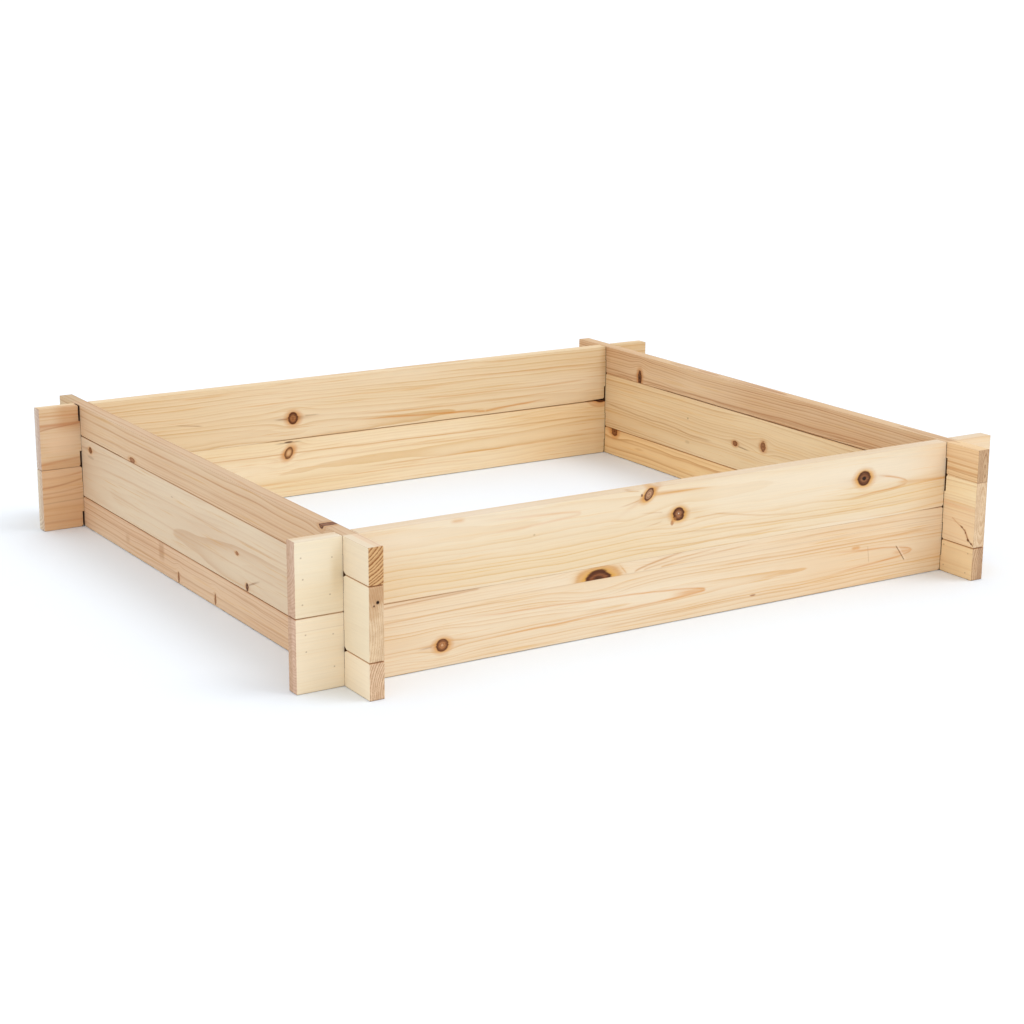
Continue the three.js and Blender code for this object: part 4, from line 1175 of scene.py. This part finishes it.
        grooves=[dict(path=[(-416, 69.8), (-427, 66), (-432, 63.5), (-435.5, 58.5), (-439.5, 52), (-443, 49.3), (-448.5, 46.6)], wide=0.55, deep=0.8)],
        bottom_dip=[(-450, 0.3), (450, 0.2)],
        top_arris=[(-450, 0.15), (-394, 0.15), (-380, 0.5), (180, 0.6), (270, 0.2), (450, 0.2)],
        top_dip=[(-450, -0.12), (-394, -0.12), (-380, 0.1), (180, 0.2), (270, -0.05), (450, -0.05)],
        knots=[
            dict(x=31, z=80.5, r=5.2, aspect=0.8, body=(156, 98, 56), body2=(116, 66, 34), rim_colour=(100, 54, 26), rim_f=0.7, core_f=0.0, halo=0.8, halo_out=2.0, halo_colour=(200, 138, 84), collar=0.0, tongue=0.6, tongue_colour=(172, 112, 64), ragged=0.9),
            dict(x=-34.5, z=89, r=5.6, aspect=1.3, body=(164, 108, 66), body2=(124, 76, 44), rim_colour=(106, 62, 34), rim_f=0.6, core=(112, 66, 38), halo=0.8, halo_out=2.1, halo_colour=(206, 146, 92), collar=0.0, tongue=0.4, tongue_colour=(180, 122, 74), ragged=1.1),
        ],
        wood=dict(
            WOOD, calm=-392, high_edge_shade=0.5, early=(240, 214, 174), late=(200, 150, 98), blush=(222, 186, 140), pith=(-4, 58, 0.0, 0.0), spacing=4.0, contrast=0.5,
            end_early=(236, 208, 176), end_late=(200, 158, 120), end_contrast=0.7, end_pith=(2, 96, 0.2, 2.4),
            streaks=[
                dict(a=(374, 80), b=(84, 72), half=1.2, strength=0.6, colour=(186, 132, 82), fade=(20, 20), wig=2.0),
                dict(a=(25, 78), b=(-8, 76), half=1.0, strength=0.6, colour=(140, 96, 64), fade=(3, 16)),
                dict(a=(-470, 92), b=(-390, 92), half=2.6, strength=0.35, colour=(216, 160, 110), fade=(2, 2), wig=0.5),
            ],
            dots=[
                dict(x=150, z=96, rx=1.8, rz=1.5, strength=0.5), dict(x=150, z=60, rx=6, rz=2.5, strength=0.2),
                dict(x=-427.5, z=66, rx=2.2, rz=1.1, strength=0.85, colour=(96, 50, 24)), dict(x=-434.6, z=60, rx=1.5, rz=1.7, strength=0.8, colour=(104, 54, 26)),
                dict(x=-439.6, z=51.6, rx=2.3, rz=1.9, strength=0.95, colour=(66, 30, 12)), dict(x=-445.5, z=47.8, rx=2.0, rz=1.2, strength=0.8, colour=(104, 54, 26)),
            ],
            patches=[dict(x=(-460, -392), z=(100, 140), soft=(2, 8), colour=(240, 208, 152), strength=0.3), dict(x=(-460, -392), z=(30, 92), soft=(2, 8), colour=(232, 192, 146), strength=0.5)],
            scratches=[
                dict(a=(-408, 75), b=(-429, 64.5), half=1.0, strength=0.45, colour=(190, 122, 62), wig=1.0),
                dict(a=(-424, 68), b=(-434.5, 61), half=0.9, strength=0.75, colour=(140, 80, 38), wig=1.0),
                dict(a=(-432, 65), b=(-440.5, 50), half=1.7, strength=0.4, colour=(200, 124, 60), wig=1.0),
                dict(a=(-432, 64.5), b=(-440.5, 50), half=0.8, strength=0.8, colour=(122, 66, 30), wig=1.0),
                dict(a=(-438, 52.5), b=(-450, 45.2), half=0.9, strength=0.85, colour=(110, 58, 26), wig=1.0),
            ],
            tints=[dict(x=(-391, -394), side=0, gain="right_near_middle"), dict(x=(-449, -449.5), side=0, cut=True, gain="end_right")],
        ),
    ),
    "right_board_bottom": dict(
        axis="y", wall=WALL_X, levels=BOTTOM, gaps=(None, None, (EASY, TIGHT), (EASY, TIGHT)), seed=43, body="ground_course",
        bottom_arris=[(-450, 0.6), (450, 0.6)], bottom_dip=[(-450, 0.0), (-405, 0.1), (-380, 0.5), (-200, 0.75), (0, 0.6), (250, 0.8), (380, 0.5), (405, 0.1), (450, 0.0)],
        top_arris=[(-450, 0.5), (450, 0.5)],
        knots=[
            dict(x=346, z=39, r=7.4, aspect=1.0, body=(150, 90, 46), body2=(108, 60, 30), rim_colour=(92, 50, 24), core=(84, 46, 22), core_r=0.4, halo=0.8, halo_out=2.2, halo_colour=(206, 134, 66), collar=0.15, tongue=0.5, tongue_colour=(176, 108, 52), ragged=0.8),
        ],
        wood=dict(
            WOOD, early=(238, 206, 160), late=(196, 142, 90), blush=(222, 180, 130), pith=(-30, 22, 0.0, 0.0), spacing=3.6, contrast=0.55,
            end_early=(222, 188, 154), end_late=(162, 112, 74), end_contrast=0.85, end_pith=(24, 10, 0.55, 2.8),
            streaks=[dict(a=(-380, 30), b=(380, 28), half=1.2, strength=0.4, colour=(190, 134, 82), fade=(60, 60))],
            patches=[dict(x=(-460, -392), z=(-10, 60), soft=(2, 8), colour=(230, 190, 138), strength=0.65)],
            tints=[dict(x=(-600, -599), side=1, gain=(0.84, 0.81, 0.82)), dict(x=(-391, -394), side=0, gain="right_near_bottom"), dict(x=(-449, -449.5), side=0, cut=True, gain="end_right")],
            dots=[
                dict(x=-397, z=36, rx=1.2, rz=1.0, strength=0.5), dict(x=-441, z=34, rx=1.2, rz=1.0, strength=0.4),
                dict(x=-398, z=9, rx=1.1, rz=1.0, strength=0.5), dict(x=-438, z=8, rx=1.1, rz=1.0, strength=0.5),
            ],
        ),
    ),
}

# each board's marks were first placed on the flat board, and are slid along it by this much (x, by)
SLIDES = {
    "front_board_upper": [(-500, -3), (-440, -3), (-315, -7.5), (-102, -10), (0, -12.5), (297, -10), (420, -8), (500, 0)],
    "front_board_lower": [(-500, -3), (-440, -3), (-315, -7.5), (-102, -9), (0, -12), (297, -10), (420, -8), (500, 0)],
    "back_board_upper": [(-440, 0), (-400, 8), (-130, 8), (412, 0)],
    "back_board_lower": [(-440, 0), (-400, 7), (-130, 7), (400, 0)],
    "left_board_top": [(-400, 0), (-380, 8), (188, 5), (374, 2)],
    "left_board_middle": [(-400, 0), (-380, 8), (-126, 8), (336, 5)],
    "left_board_bottom": [(-400, 0), (-380, 18), (36, 18), (300, 10)],
    "right_board_top": [(-390, 0), (282, 0), (300, 0)],
    "right_board_middle": [(-390, 0), (-380, 12), (-34, 12), (31, 11), (346, 0)],
    "right_board_bottom": [(-390, 0), (346, 1), (400, 1)],
}


def slid(name, spec):
    def at(x):
        return x + float(np.interp(x, *zip(*SLIDES[name])))

    spec = dict(spec)
    spec["knots"] = [dict(k, x=at(k["x"])) for k in spec["knots"]]
    w = dict(spec["wood"])
    for key in ("streaks", "scratches"):
        w[key] = [dict(b, a=(at(b["a"][0]), b["a"][1]), b=(at(b["b"][0]), b["b"][1])) for b in w.get(key, ())]
    w["dots"] = [dict(b, x=at(b["x"])) for b in w.get("dots", ())]
    w["patches"] = [dict(b, x=tuple(at(v) for v in b["x"])) for b in w.get("patches", ())]
    spec["wood"] = w
    return spec


for name, spec in BOARDS.items():
    build_board(name, slid(name, spec))

# ---- floor, light -------------------------------------------------------------------------------------
floor_mesh = bpy.data.meshes.new("floor")
e = 120.0
floor_mesh.from_pydata([(-e, -e, 0), (e, -e, 0), (e, e, 0), (-e, e, 0)], [], [(0, 1, 2, 3)])
floor = bpy.data.objects.new("floor", floor_mesh)
bpy.context.scene.collection.objects.link(floor)
floor_mat = bpy.data.materials.new("floor")
floor_mat.use_nodes = True
fs = next(n for n in floor_mat.node_tree.nodes if n.type == "BSDF_PRINCIPLED")
fs.inputs["Base Color"].default_value = (0.84, 0.89, 0.95, 1)
fs.inputs["Roughness"].default_value = 0.9
fs.inputs["Specular IOR Level"].default_value = 0.1
floor_mesh.materials.append(floor_mat)

scene = bpy.context.scene
scene.view_settings.view_transform = "Standard"
scene.view_settings.look = "None"
world = bpy.data.worlds.new("studio")
scene.world = world
world.use_nodes = True
bg = next(n for n in world.node_tree.nodes if n.type == "BACKGROUND")
bg.inputs["Color"].default_value = (1, 1, 1, 1)
bg.inputs["Strength"].default_value = 1.04


def softlight(name, towards, angle, strength):
    """A large soft light far away in one direction, so that the floor is as bright far off as it is near."""
    data = bpy.data.lights.new(name, "SUN")
    data.angle = math.radians(angle)
    data.energy = strength
    ob = bpy.data.objects.new(name, data)
    ob.location = towards
    ob.rotation_euler = (-Vector(towards)).to_track_quat("-Z", "Y").to_euler()
    scene.collection.objects.link(ob)


softlight("key", (2.0, -1.5, 4.1), 28, 0.74)
